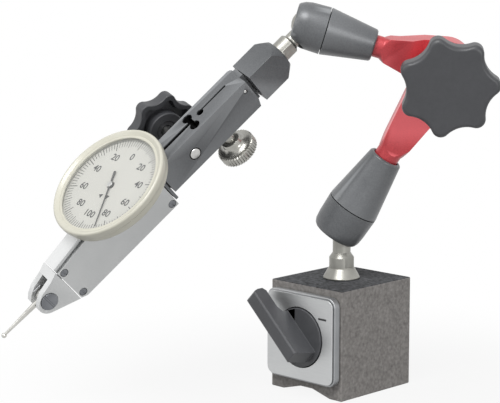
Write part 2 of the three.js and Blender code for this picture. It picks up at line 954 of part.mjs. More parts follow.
const washer = turned([
  [elbow.boltRadius + gap, washerFoot],
  [elbow.washerRadius, washerFoot],
  [elbow.washerRadius, washerTop],
  [elbow.boltRadius + gap, washerTop],
], medium);
add('elbow_washer', washer, 'steel', hingeFrame);

// Star knob with a hollow back, standing on its hub at z = 0.
function starOutline(radius, valleyShare, lobes) {
  const mean = (1 + valleyShare) / 2;
  const swing = (1 - valleyShare) / 2;
  const steps = lobes * 7;
  return Array.from({ length: steps }, (_, i) => {
    const angle = (2 * Math.PI * i) / steps;
    const r = radius * (mean + swing * Math.cos(lobes * angle));
    return new THREE.Vector2(r * Math.cos(angle), r * Math.sin(angle));
  });
}

function starKnob(knob, boltRadius) {
  const skirtFoot = knob.hubHeight - knob.bodyHeight;
  const rimRadius = knob.radius - knob.round;
  const outer = new THREE.ExtrudeGeometry(
    new THREE.Shape(starOutline(rimRadius, knob.valleyShare, knob.lobes)),
    {
      depth: knob.bodyHeight - 2 * knob.dome,
      bevelEnabled: true,
      bevelThickness: knob.dome,
      bevelSize: knob.round,
      bevelSegments: 2,
      curveSegments: 1,
    },
  ).translate(0, 0, skirtFoot + knob.dome);
  const hollow = new THREE.ExtrudeGeometry(
    new THREE.Shape(starOutline(knob.radius - knob.wall - knob.round / 2, knob.valleyShare, knob.lobes)),
    { depth: knob.bodyHeight - knob.roof + reach, bevelEnabled: false, curveSegments: 1 },
  ).translate(0, 0, skirtFoot - reach);
  const hub = rod(knob.hubRadius, 0, knob.hubHeight - knob.roof + overlap);
  const bore = rod(boltRadius + gap, -reach, knob.insertHeight + knob.wall, coarse);
  const insertBore = rod(knob.insertRadius + fineGap, -reach, knob.insertHeight + fineGap, coarse);
  return cut(asSolid(cut(outer, hollow)).add(solid(hub)), bore, insertBore);
}

function knobInsert(knob, boltRadius) {
  return turned([
    [boltRadius + fineGap, fineGap],
    [knob.insertRadius, fineGap],
    [knob.insertRadius, knob.insertHeight],
    [boltRadius + fineGap, knob.insertHeight],
  ], coarse);
}

const elbowKnobFrame = hingeFrame.clone()
  .multiply(shift(0, 0, washerTop + gap))
  .multiply(turnZ(elbowKnob.phase));
add('elbow_knob', starKnob(elbowKnob, elbow.boltRadius), 'knob', elbowKnobFrame);
add('elbow_knob_insert', knobInsert(elbowKnob, elbow.boltRadius), 'brass', elbowKnobFrame);

// --------------------------------------------------------- clamp head, neck

const [headHalf, headRise] = [head.width / 2, head.height / 2];
const coneEnd = head.neckStart + head.coneLength;
const headCorner = Math.hypot(headHalf, headRise);

const neckPrism = box(-headHalf, headHalf, -headRise, headRise, head.neckStart, head.neckEnd);
const neckCone = turned([
  [0, head.neckStart],
  [head.coneRadius, head.neckStart],
  [headCorner + fineGap, coneEnd],
  [headCorner + fineGap, head.neckEnd + reach],
  [0, head.neckEnd + reach],
], fine);
const shankSeat = rod(
  upperStud.shankRadius + gap, head.neckStart - reach, upperStud.collarEnd + upperStud.shankDepth + gap, coarse,
);
add('neck_block', cut(common(neckPrism, neckCone), shankSeat), 'anodised', headFrame);

// --------------------------------------------------------- clamp head, block

const webStart = head.neckEnd + gap;
const bodyLeft = head.neckEnd + head.leftNotch;
const bodyRight = head.neckEnd + head.rightNotch;
const cornerRound = head.leftNotch;

const blockPlan = [
  [-head.webLeft, webStart],
  [head.webRight, webStart],
  [head.webRight, bodyRight],
  [headHalf, bodyRight],
  [headHalf, head.end],
  [-headHalf, head.end],
  [-headHalf, bodyLeft + cornerRound],
  [-headHalf + cornerRound / 3, bodyLeft + cornerRound / 3],
  [-headHalf + cornerRound, bodyLeft],
  [-head.webLeft, bodyLeft],
];
const blockBlank = acrossY(prism(blockPlan, -headRise, headRise));

const cornerCut = acrossX(prism([
  [bodyRight - overlap, -headRise + head.cornerCutHeight],
  [bodyRight + head.cornerCutLength, -headRise - fineGap],
  [bodyRight - overlap, -headRise - fineGap],
], head.webRight, headHalf + reach));

const sawCut = box(
  -head.sawSide - head.sawWidth, -head.sawSide, -headRise - reach, headRise + reach, head.sawStart, head.sawEnd,
);
const sawHole = acrossY(rod(head.sawHole, -headRise - reach, headRise + reach, tiny))
  .translate(-head.sawSide + head.sawWidth, 0, head.sawEnd);

const lobeHoles = [-1, 1].map((side) => acrossY(rod(head.lobeRadius, -headRise - reach, headRise + reach, coarse))
  .translate(side * head.lobeOffset, 0, head.lobeStation));
const lobeWeb = box(
  -head.lobeOffset, head.lobeOffset, -headRise - reach, headRise + reach,
  head.lobeStation - head.lobeWeb / 2, head.lobeStation + head.lobeWeb / 2,
);
const jawSlit = box(
  -head.slitWidth / 2, head.slitWidth / 2, -headRise - reach, headRise + reach, head.lobeStation, head.end + reach,
);

const mouthFloor = head.end - dovetail.depth;
const mouthFlank = (dovetail.rootHalf - dovetail.mouthHalf) / dovetail.depth;
const jawMouth = acrossY(prism([
  [-dovetail.rootHalf, mouthFloor],
  [dovetail.rootHalf, mouthFloor],
  [dovetail.mouthHalf - mouthFlank * reach, head.end + reach],
  [-dovetail.mouthHalf + mouthFlank * reach, head.end + reach],
], -headRise - reach, headRise + reach));

const boltBore = acrossX(rod(clampBolt.radius + gap, -headHalf - reach, headHalf + reach, coarse))
  .translate(0, clampBolt.height, clampBolt.station);
const screwBore = acrossY(rod(fineScrew.radius + gap, -headRise - reach, fineScrew.tip + gap, coarse))
  .translate(fineScrew.side, 0, fineScrew.station);
const pinBore = acrossX(rod(stopPin.radius + fineGap, headHalf - stopPin.depth - fineGap, headHalf + reach, tiny))
  .translate(0, stopPin.height, stopPin.station);

add('clamp_block', cut(
  blockBlank, cornerCut, sawCut, sawHole, ...lobeHoles, lobeWeb, jawSlit, jawMouth, boltBore, screwBore, pinBore,
), 'anodised', headFrame);

const pin = turned([
  [0, headHalf - stopPin.depth],
  [stopPin.radius, headHalf - stopPin.depth],
  [stopPin.radius, headHalf - fineGap],
  [0, headHalf],
], tiny);
add('stop_pin', acrossX(pin).translate(0, stopPin.height, stopPin.station), 'steel', headFrame);

// Clamp bolt: a domed end shows in the near jaw, the thread runs into the star knob.
const hubFace = headHalf + clampBolt.hubDistance;
const clampBoltProfile = [
  [0, -hubFace - clampBolt.grip],
  [clampBolt.radius, -hubFace - clampBolt.grip],
  [clampBolt.radius, headHalf],
  [clampBolt.radius - fineGap, headHalf + fineGap],
  [0, headHalf + gap],
];
const clampBoltFrame = headFrame.clone()
  .multiply(shift(0, clampBolt.height, clampBolt.station))
  .multiply(basis(axisZ.clone().negate(), axisY, axisX));
add('clamp_bolt', turned(clampBoltProfile, coarse), 'silver', clampBoltFrame);

const clampKnobFrame = headFrame.clone()
  .multiply(shift(-hubFace, clampBolt.height, clampBolt.station))
  .multiply(basis(axisZ, axisY, axisX.clone().negate()))
  .multiply(turnZ(clampKnob.phase));
add('clamp_knob', starKnob(clampKnob, clampBolt.radius), 'knob', clampKnobFrame);
add('clamp_knob_insert', knobInsert(clampKnob, clampBolt.radius), 'brass', clampKnobFrame);

// Fine adjusting screw with a knurled head, under the block.
function knurledOutline(radius, teeth, depth) {
  return Array.from({ length: 2 * teeth }, (_, i) => {
    const angle = (Math.PI * i) / teeth;
    const r = i % 2 === 0 ? radius : radius - depth;
    return new THREE.Vector2(r * Math.cos(angle), r * Math.sin(angle));
  });
}

const screwHead = new THREE.ExtrudeGeometry(
  new THREE.Shape(knurledOutline(fineScrew.headRadius - fineScrew.edge, fineScrew.teeth, fineScrew.toothDepth)),
  {
    depth: fineScrew.headThickness - 2 * fineScrew.edge,
    bevelEnabled: true,
    bevelThickness: fineScrew.edge,
    bevelSize: fineScrew.edge,
    bevelSegments: 1,
    curveSegments: 1,
  },
).translate(0, 0, fineScrew.headStart + fineScrew.edge);
const screwShaft = turned([
  [0, -fineScrew.tip],
  [fineScrew.tipRadius, -fineScrew.tip],
  [fineScrew.radius, -fineScrew.tip + fineScrew.tipLength],
  [fineScrew.radius, fineScrew.headStart + overlap],
  [0, fineScrew.headStart + overlap],
], coarse);
const screwRelief = rod(
  fineScrew.relief,
  fineScrew.headStart + fineScrew.headThickness - fineScrew.reliefDepth,
  fineScrew.headStart + fineScrew.headThickness + reach,
  coarse,
);
const fineScrewFrame = headFrame.clone()
  .multiply(shift(fineScrew.side, 0, fineScrew.station))
  .multiply(basis(axisX, axisZ, axisY.clone().negate()));
add('fine_adjust_screw', cut(join(screwHead, screwShaft), screwRelief), 'stainless', fineScrewFrame);

// ---------------------------------------------------- indicator, holding rail

const lipStart = head.end + gap;
const lipEnd = lipStart + dovetail.lip;
const tongueTip = mouthFloor + gap;
const flankAt = (z) => dovetail.mouthHalf + mouthFlank * (head.end - z) - gap;
const railTongue = acrossY(prism([
  [-flankAt(tongueTip), tongueTip],
  [flankAt(tongueTip), tongueTip],
  [flankAt(lipStart), lipStart],
  [flankAt(lipStart), lipEnd - overlap],
  [-flankAt(lipStart), lipEnd - overlap],
  [-flankAt(lipStart), lipStart],
], -dovetail.tongueBottom, dovetail.top));
const railLip = box(
  -dovetail.lipHalf, dovetail.lipHalf, -dovetail.lipBottom, dovetail.top, lipStart, lipEnd,
);
add('rear_dovetail', join(railTongue, railLip), 'anodised', headFrame);

// ----------------------------------------------------------- indicator, case

const caseEnd = gauge.start + gauge.caseLength;
const coverInner = gauge.halfWidth - gauge.coverThickness;
const noseStart = caseEnd + gap;
const pivotStation = noseStart + nose.pivotRun;

const caseOutline = [
  [gauge.start, gauge.bottom],
  [caseEnd - gauge.cornerCut, gauge.bottom],
  [caseEnd, gauge.bottom + gauge.cornerCut / 2],
  [caseEnd, gauge.railEndHeight],
  [gauge.railStart, gauge.railStartHeight],
  [gauge.railStart, gauge.top],
  [gauge.start, gauge.top],
];
const caseBlank = acrossX(prism(caseOutline, -gauge.halfWidth, coverInner - fineGap));
const casePocket = box(
  -gauge.halfWidth + gauge.wallSide, gauge.halfWidth,
  gauge.bottom + gauge.wallBottom, gauge.top - gauge.wallTop,
  gauge.start + gauge.wallStart, caseEnd - gauge.wallEnd,
);
const leverChannel = box(
  -nose.slotHalf, nose.slotHalf,
  nose.pivotHeight - movement.leverWidth, nose.pivotHeight + movement.leverWidth,
  caseEnd - gauge.wallEnd - overlap, noseStart + nose.slotRun + overlap,
);
const arborHole = acrossY(rod(movement.arborRadius + gap, 0, gauge.top + reach, tiny))
  .translate(0, 0, dial.station);
const wheelBearing = acrossX(rod(
  movement.arborRadius + fineGap, -gauge.halfWidth + gauge.wallSide - movement.arborSetIn, 0, tiny,
)).translate(0, nose.pivotHeight, movement.wheelStation);

// The sloping rail on top: a shoulder beside it and an undercut groove, both parallel to its top.
const shoulderStart = gauge.railStartHeight - gauge.railDrop;
const shoulderEnd = gauge.railEndHeight - gauge.railDrop;
const railHalf = coverInner - fineGap;

function alongRail(rise, depth, from, to) {
  const slope = (gauge.railEndHeight - gauge.railStartHeight) / (caseEnd - gauge.railStart);
  return acrossX(prism([
    [gauge.railStart, shoulderStart + rise],
    [caseEnd + reach, shoulderEnd + rise + slope * reach],
    [caseEnd + reach, shoulderEnd + rise + depth + slope * reach],
    [gauge.railStart, shoulderStart + rise + depth],
  ], from, to));
}

const besideRail = alongRail(0, reach * 2, -gauge.halfWidth - reach, -railHalf);
const grooveFloor = railHalf - gauge.railGroove;
const railGrooves = [
  alongRail(0, gauge.railGrooveHeight, -gauge.halfWidth - reach, -grooveFloor),
  alongRail(0, gauge.railGrooveHeight, grooveFloor, gauge.halfWidth + reach),
];

const screwSpots = [
  [gauge.start + 1.3 * caseScrew.headRadius, gauge.bottom + 1.4 * caseScrew.headRadius],
  [caseEnd - 1.4 * caseScrew.headRadius, gauge.bottom + 1.8 * caseScrew.headRadius],
  [caseEnd - 1.4 * caseScrew.headRadius, shoulderEnd - 1.1 * caseScrew.headRadius],
];

const screwHoles = screwSpots.map(([z, y]) => acrossX(rod(
  caseScrew.shankRadius + fineGap, coverInner - caseScrew.shankLength - gap, gauge.halfWidth + reach, tiny,
)).translate(0, y, z));
const headHoles = screwSpots.map(([z, y]) => acrossX(rod(
  caseScrew.headRadius + fineGap, coverInner - reach, gauge.halfWidth + reach, coarse,
)).translate(0, y, z));

add('indicator_case', cut(
  caseBlank, casePocket, leverChannel, arborHole, wheelBearing, besideRail, ...railGrooves, ...screwHoles,
), 'satin', headFrame);

const coverOutline = [
  [gauge.start, gauge.bottom],
  [caseEnd - gauge.cornerCut, gauge.bottom],
  [caseEnd, gauge.bottom + gauge.cornerCut / 2],
  [caseEnd, shoulderEnd],
  [gauge.railStart, shoulderStart],
  [gauge.railStart, gauge.top],
  [gauge.start, gauge.top],
];
const coverBlank = acrossX(prism(coverOutline, coverInner, gauge.halfWidth));
add('side_cover', cut(coverBlank, ...headHoles), 'satin', headFrame);

// A slotted screw along X with its head's top at the given height.
function slottedScrew(screw, top) {
  const underHead = top - screw.headHeight;
  const body = turned([
    [0, underHead - screw.shankLength],
    [screw.shankRadius, underHead - screw.shankLength],
    [screw.shankRadius, underHead],
    [screw.headRadius, underHead],
    [screw.headRadius, top],
    [0, top],
  ], coarse);
  const slotHalf = screw.slot / 2;
  const slot = box(-slotHalf, slotHalf, -screw.headRadius - reach, screw.headRadius + reach, top - slotHalf, top + reach);
  return acrossX(asGeometry(cut(body, slot)));
}

screwSpots.forEach(([z, y], i) => {
  const screw = slottedScrew(caseScrew, coverInner + caseScrew.headHeight + fineGap);
  add(`cover_screw_${i + 1}`, screw.translate(0, y, z), 'steel', headFrame);
});

// ----------------------------------------------------------- indicator, nose

const noseEnd = noseStart + nose.length;
const foot = gauge.bottom + gauge.cornerCut / 2;
const noseSteps = 6;
const noseOutline = [
  [noseStart, foot],
  ...arc(pivotStation, nose.pivotHeight, nose.tipRadius, nose.heelAngle, nose.browAngle, noseSteps),
  [noseStart + nose.crownRun, nose.crownHeight],
  [noseStart + nose.browRun, nose.browHeight],
  [noseStart + nose.shoulderRun, nose.shoulderHeight],
  [noseStart, nose.topHeight],
];
const noseBlank = acrossX(prism(noseOutline, -gauge.halfWidth, gauge.halfWidth));
const noseSlot = box(
  -nose.slotHalf, nose.slotHalf, gauge.bottom - reach, nose.topHeight + reach,
  noseStart + nose.slotRun, noseEnd + reach,
);
const pivotBore = acrossX(rod(
  pivot.radius + fineGap, -gauge.halfWidth + overlap, gauge.halfWidth + reach, coarse,
)).translate(0, nose.pivotHeight, pivotStation);
const pivotSink = acrossX(rod(
  pivot.headRadius + fineGap, gauge.halfWidth - pivot.headHeight / 2, gauge.halfWidth + reach, coarse,
)).translate(0, nose.pivotHeight, pivotStation);
add('nose_fork', cut(noseBlank, noseSlot, leverChannel, pivotBore, pivotSink), 'satin', headFrame);

const pivotScrew = {
  headRadius: pivot.headRadius,
  headHeight: pivot.headHeight,
  shankRadius: pivot.radius,
  shankLength: 2 * gauge.halfWidth - 2 * overlap - pivot.headHeight,
  slot: pivot.slotWidth,
};
const pivotTop = gauge.halfWidth + pivot.headHeight / 2 + fineGap;
add(
  'pivot_screw', slottedScrew(pivotScrew, pivotTop).translate(0, nose.pivotHeight, pivotStation), 'steel', headFrame,
);

// -------------------------------------------------------- indicator, stylus

const pivotFrame = headFrame.clone().multiply(shift(0, nose.pivotHeight, pivotStation));
const stylusSide = (stylus.hubFrom + stylus.hubTo) / 2;

const stylusHub = acrossX(rod(stylus.hubRadius, stylus.hubFrom, stylus.hubTo, coarse));
const stylusRoot = stylus.length - stylus.ballRadius;
const stylusRod = turned([
  [0, stylus.hubRadius - overlap],
  [stylus.rootRadius, stylus.hubRadius - overlap],
  [stylus.rootRadius, stylus.hubRadius + reach],
  [stylus.neckRadius, stylusRoot + overlap],
  [0, stylusRoot + overlap],
], coarse).translate(stylusSide, 0, 0);
const hubBore = acrossX(rod(pivot.radius + fineGap, stylus.hubFrom - reach, stylus.hubTo + reach, coarse));
const tip = new THREE.SphereGeometry(stylus.ballRadius, coarse, tiny).translate(stylusSide, 0, stylus.length);
const tipSeat = rod(stylus.neckRadius + fineGap, stylusRoot - reach, stylusRoot + overlap + fineGap, coarse)
  .translate(stylusSide, 0, 0);
add('stylus', cut(join(stylusHub, stylusRod), hubBore), 'stainless', pivotFrame);
add('stylus_ball', cut(tip, tipSeat), 'stainless', pivotFrame);

// ------------------------------------------------------ indicator, movement

const leverOutline = [
  [-movement.leverLength, -movement.sectorHalf],
  [-movement.leverLength + movement.sectorDepth, -movement.sectorHalf],
  [-movement.leverLength + movement.sectorDepth, -movement.leverWidth / 2],
  [-stylus.hubRadius, -movement.leverWidth / 2],
  [0, -stylus.hubRadius],
  [stylus.hubRadius, 0],
  [movement.fingerWidth, movement.fingerRise],
  [-movement.fingerRun, movement.fingerRise],
  [-stylus.hubRadius, movement.leverWidth / 2],
  [-movement.leverLength + movement.sectorDepth, movement.leverWidth / 2],
  [-movement.leverLength + movement.sectorDepth, movement.sectorHalf],
  [-movement.leverLength, movement.sectorHalf],
];
const leverPlate = acrossX(prism(leverOutline, movement.leverFrom, movement.leverTo));
add('measuring_lever', cut(leverPlate, hubBore.clone().translate(-stylus.hubTo, 0, 0)), 'steel', pivotFrame);

const wheelHeight = nose.pivotHeight;
const arborTop = coverInner - gap;
const arborFoot = -gauge.halfWidth + gauge.wallSide - movement.arborSetIn + fineGap;
const crownWheel = turned([
  [0, arborFoot],
  [movement.arborRadius, arborFoot],
  [movement.arborRadius, movement.wheelFrom],
  [movement.wheelRadius, movement.wheelFrom],
  [movement.wheelRadius, movement.wheelTo],
  [movement.arborRadius, movement.wheelTo],
  [movement.arborRadius, arborTop],
  [0, arborTop],
], coarse);
add('crown_wheel', acrossX(crownWheel).translate(0, wheelHeight, movement.wheelStation), 'brass', headFrame);

// ----------------------------------------------------------- indicator, dial

// Local Z of a turned piece onto the dial's axis.
const dialFrame = headFrame.clone()
  .multiply(shift(0, 0, dial.station))
  .multiply(basis(axisX, axisZ.clone().negate(), axisY));

const bezelInner = dial.radius - dial.wall;
const webTop = dial.bottom + dial.webThickness;
const lipFoot = dial.top - dial.lipHeight;
const bezel = turned([
  [dial.webRadius, dial.bottom],
  [dial.footRadius, dial.bottom],
  [dial.beltRadius, dial.beltHeight],
  [dial.radius, dial.crownHeight],
  [dial.brimRadius, dial.brimHeight],
  [dial.rimRadius, dial.top],
  [dial.grooveRadius + dial.grooveWidth, dial.top],
  [dial.grooveRadius + dial.grooveWidth / 2, dial.top - dial.grooveDepth],
  [dial.grooveRadius, dial.top - fineGap],
  [dial.openRadius, lipFoot + fineGap],
  [dial.openRadius, lipFoot],
  [bezelInner, lipFoot],
  [bezelInner, webTop],
  [dial.webRadius, webTop],
], finest);
add('bezel', bezel, 'cream', dialFrame);

const seat = turned([
  [movement.arborRadius + gap, gauge.top + fineGap],
  [dial.seatRadius, gauge.top + fineGap],
  [dial.seatRadius, gauge.top + fineGap + dial.seatThickness],
  [movement.arborRadius + gap, gauge.top + fineGap + dial.seatThickness],
], fine);
add('dial_seat', seat, 'satin', dialFrame);

const faceFoot = webTop + gap;
const faceTop = faceFoot + dial.faceThickness;
const face = turned([
  [dial.pointerHub, faceFoot],
  [bezelInner - fineGap, faceFoot],
  [bezelInner - fineGap, faceTop],
  [dial.pointerHub, faceTop],
], finest);
add('dial_face', face, 'dialWhite', dialFrame);

const crystalFoot = lipFoot - gap - dial.crystalThickness;
add('crystal', rod(bezelInner - fineGap, crystalFoot, crystalFoot + dial.crystalThickness, finest), 'glass', dialFrame);

const pointerOutline = [
  [-dial.pointerWidth / 2, -dial.pointerTail],
  [dial.pointerWidth / 2, -dial.pointerTail],
  [dial.pointerTipWidth, 0],
  [dial.pointerTipWidth / 2, dial.pointerLength],
  [-dial.pointerTipWidth / 2, dial.pointerLength],
  [-dial.pointerTipWidth, 0],
];
const pointerTop = dial.pointerHeight + dial.pointerThickness;
const pointerBlade = prism(pointerOutline, dial.pointerHeight, pointerTop);
const arborEnd = wheelHeight - movement.wheelRadius / 2;
const pointerArbor = turned([
  [0, arborEnd],
  [movement.arborRadius, arborEnd],
  [movement.arborRadius, faceTop],
  [dial.pointerHub - gap, faceTop + fineGap],
  [dial.pointerHub - gap, pointerTop + fineGap],
  [0, pointerTop + gap],
], coarse);
add('pointer', join(pointerBlade, pointerArbor), 'black', dialFrame.clone().multiply(turnZ(dial.pointerAngle)));

export default part;
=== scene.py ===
import json
import math

import bpy
from mathutils import Matrix, Vector


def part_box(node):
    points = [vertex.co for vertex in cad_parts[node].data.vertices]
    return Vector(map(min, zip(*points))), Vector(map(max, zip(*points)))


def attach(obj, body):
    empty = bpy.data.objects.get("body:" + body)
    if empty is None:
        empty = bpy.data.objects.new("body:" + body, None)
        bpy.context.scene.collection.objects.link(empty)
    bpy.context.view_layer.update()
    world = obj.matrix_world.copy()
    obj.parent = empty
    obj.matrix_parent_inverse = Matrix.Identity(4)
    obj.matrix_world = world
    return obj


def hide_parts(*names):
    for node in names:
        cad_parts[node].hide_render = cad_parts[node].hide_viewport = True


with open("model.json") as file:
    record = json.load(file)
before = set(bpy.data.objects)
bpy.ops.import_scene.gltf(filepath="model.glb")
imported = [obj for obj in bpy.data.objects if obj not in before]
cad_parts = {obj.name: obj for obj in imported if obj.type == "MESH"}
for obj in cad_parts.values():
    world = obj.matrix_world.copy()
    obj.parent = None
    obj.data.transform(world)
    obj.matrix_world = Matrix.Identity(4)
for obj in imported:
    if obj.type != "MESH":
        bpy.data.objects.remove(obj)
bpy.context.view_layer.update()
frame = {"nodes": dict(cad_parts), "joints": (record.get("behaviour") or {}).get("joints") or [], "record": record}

MM = 0.001
AXIS_Y, AXIS_Z = Vector((0, 1, 0)), Vector((0, 0, 1))
joints = {joint["name"]: joint for joint in frame["joints"]}


# Places

def place_at(origin, x_axis, y_axis):
    """A place with its own axes: X and Y as given, Z from the two."""
    x = Vector(x_axis).normalized()
    z = x.cross(Vector(y_axis)).normalized()
    y = z.cross(x)
    turned_to = Matrix((x, y, z)).transposed().to_4x4()
    return Matrix.Translation(Vector(origin)) @ turned_to


def joint_pos(name):
    return Vector(joints[name]["pos_m"])


def joint_axis(name):
    return Vector(joints[name]["axis"]).normalized()


# The head's place: X to its side, Y out of the dial, Z down along it from the ball.
side_way = joint_axis("lever_swing")
dial_way = joint_axis("bezel_turn")
head_way = joint_axis("head_spin")
head_at = joint_pos("head_spin")
head = place_at(head_at, side_way, dial_way)

# The dial's place: X to the right of the print, Y to its top, Z out of the glass.
DIAL_STATION = 78
dial_centre = head @ Vector((0, 0, DIAL_STATION * MM))
dial = place_at(dial_centre, dial_way.cross(head_way), -head_way)

magnet_at = Vector((0, 0, 18.8 * MM))
lower_way = joint_axis("lower_roll")
elbow_at = joint_pos("elbow_hinge")
elbow_way = joint_axis("elbow_hinge")
upper_ball_at = joint_pos("upper_tilt")
upper_way = (elbow_at - upper_ball_at).normalized()
lower_ball_at = joint_pos("lower_ball_spin")


# Modelling tools

def object_mode():
    if bpy.context.object and bpy.context.object.mode != "OBJECT":
        bpy.ops.object.mode_set(mode="OBJECT")


def clear():
    object_mode()
    bpy.ops.object.select_all(action="DESELECT")


def pick(obj):
    clear()
    obj.select_set(True)
    bpy.context.view_layer.objects.active = obj
    return obj


def named(name):
    obj = bpy.context.object
    obj.name = name
    obj.data.name = name
    return obj


def edit(obj, mode="FACE", select=True):
    pick(obj)
    bpy.ops.object.mode_set(mode="EDIT")
    bpy.ops.mesh.select_mode(type=mode)
    bpy.ops.mesh.select_all(action="SELECT" if select else "DESELECT")


def settle(obj, place=None):
    """Moves the finished mesh to its place and leaves the object at the origin."""
    pick(obj)
    if place is not None:
        obj.matrix_world = place @ obj.matrix_world
    bpy.ops.object.transform_apply(location=True, rotation=True, scale=True)
    return obj


def apply_modifier(obj, kind, **settings):
    pick(obj)
    modifier = obj.modifiers.new(kind.lower(), kind)
    for key, value in settings.items():
        setattr(modifier, key, value)
    bpy.ops.object.modifier_apply(modifier=modifier.name)
    return obj


def soften(obj, width, segments=2, angle=30, smooth=34):
    """Rounds the sharp edges and shades the rest smooth."""
    apply_modifier(
        obj, "BEVEL", width=width * MM, segments=segments, limit_method="ANGLE",
        angle_limit=math.radians(angle), miter_outer="MITER_ARC", use_clamp_overlap=True,
    )
    return shaded(obj, smooth)


def shaded(obj, angle):
    """Smooth shading that leaves the large flat faces flat beside their rounded edges."""
    pick(obj)
    bpy.ops.object.shade_smooth_by_angle(angle=math.radians(angle))
    return apply_modifier(obj, "WEIGHTED_NORMAL", mode="FACE_AREA", weight=50, keep_sharp=True)


def outward(obj):
    """Closes the seams of a drawn body and turns its faces outward."""
    edit(obj)
    bpy.ops.mesh.remove_doubles(threshold=1e-6)
    bpy.ops.mesh.normals_make_consistent(inside=False)
    object_mode()
    return obj


def copy_of(node):
    """A merged copy of a solid, its flat faces whole again."""
    source = frame["nodes"][node]
    clear()
    obj = bpy.data.objects.new(node + "_finished", source.data.copy())
    obj.data.materials.clear()
    bpy.context.scene.collection.objects.link(obj)
    edit(obj)
    bpy.ops.mesh.remove_doubles(threshold=2e-6)
    bpy.ops.mesh.dissolve_limited(angle_limit=math.radians(0.5))
    object_mode()
    return obj


def round_bar(name, radius, low, high, sides=48):
    """A plain bar along Z, in millimetres."""
    clear()
    middle = (0, 0, (low + high) / 2 * MM)
    bpy.ops.mesh.primitive_cylinder_add(
        vertices=sides, radius=radius * MM, depth=(high - low) * MM, location=middle,
    )
    return settle(named(name))


def block(name, low, high):
    """A plain block between two corners, in millimetres."""
    clear()
    centre = [(a + b) / 2 * MM for a, b in zip(low, high)]
    bpy.ops.mesh.primitive_cube_add(size=1, location=centre)
    bpy.context.object.scale = [(b - a) * MM for a, b in zip(low, high)]
    return settle(named(name))


def turned(name, profile, sides=96):
    """A body turned about Z. The profile is radius and height in millimetres. One that
    starts off the axis and comes back to its first point is a ring."""
    ring = profile[0][0] > 0 and profile[0] == profile[-1]
    points = [p for p in profile if p[0] > 0]
    clear()
    radius, height = points[0]
    bpy.ops.mesh.primitive_circle_add(
        vertices=sides, radius=radius * MM, location=(0, 0, height * MM),
        fill_type="NOTHING" if ring else "NGON",
    )
    obj = named(name)
    edit(obj, "EDGE" if ring else "FACE")
    for wide, high in points[1:]:
        bpy.ops.mesh.extrude_region_move(TRANSFORM_OT_translate={"value": (0, 0, (high - height) * MM)})
        bpy.ops.transform.resize(value=(wide / radius, wide / radius, 1))
        radius, height = wide, high
    object_mode()
    return outward(settle(obj))


def combined(obj, other, operation):
    apply_modifier(obj, "BOOLEAN", operation=operation, object=other, solver="EXACT")
    bpy.data.objects.remove(other)
    return obj


def cut_with(obj, cutter):
    return combined(obj, cutter, "DIFFERENCE")


def joined(name, pieces):
    clear()
    for piece in pieces:
        piece.select_set(True)
    bpy.context.view_layer.objects.active = pieces[0]
    bpy.ops.object.join()
    return named(name)


# Materials

class Value:
    """A number that changes over the surface, and that can be reckoned with."""

    def __init__(self, finish, socket):
        self.finish = finish
        self.socket = socket

    def reckon(self, operation, *terms):
        return self.finish.node("ShaderNodeMath", {"operation": operation}, dict(enumerate(terms))).out(0)

    def __add__(self, other):
        return self.reckon("ADD", self, other)

    def __radd__(self, other):
        return self.reckon("ADD", other, self)

    def __sub__(self, other):
        return self.reckon("SUBTRACT", self, other)

    def __rsub__(self, other):
        return self.reckon("SUBTRACT", other, self)

    def __mul__(self, other):
        return self.reckon("MULTIPLY", self, other)

    def __rmul__(self, other):
        return self.reckon("MULTIPLY", other, self)

    def clamped(self):
        return self.finish.node("ShaderNodeClamp", {}, {"Value": self}).out("Result")

    def rise(self, start, end):
        """0 below start, 1 above end."""
        settings = {"interpolation_type": "SMOOTHSTEP"}
        return self.finish.node(
            "ShaderNodeMapRange", settings, {"Value": self, "From Min": start, "From Max": end},
        ).out("Result")


class Step:
    """A node whose outputs can be taken by name or number."""

    def __init__(self, finish, shader_node):
        self.finish = finish
        self.shader_node = shader_node

    def out(self, key=0):
        return Value(self.finish, self.shader_node.outputs[key])


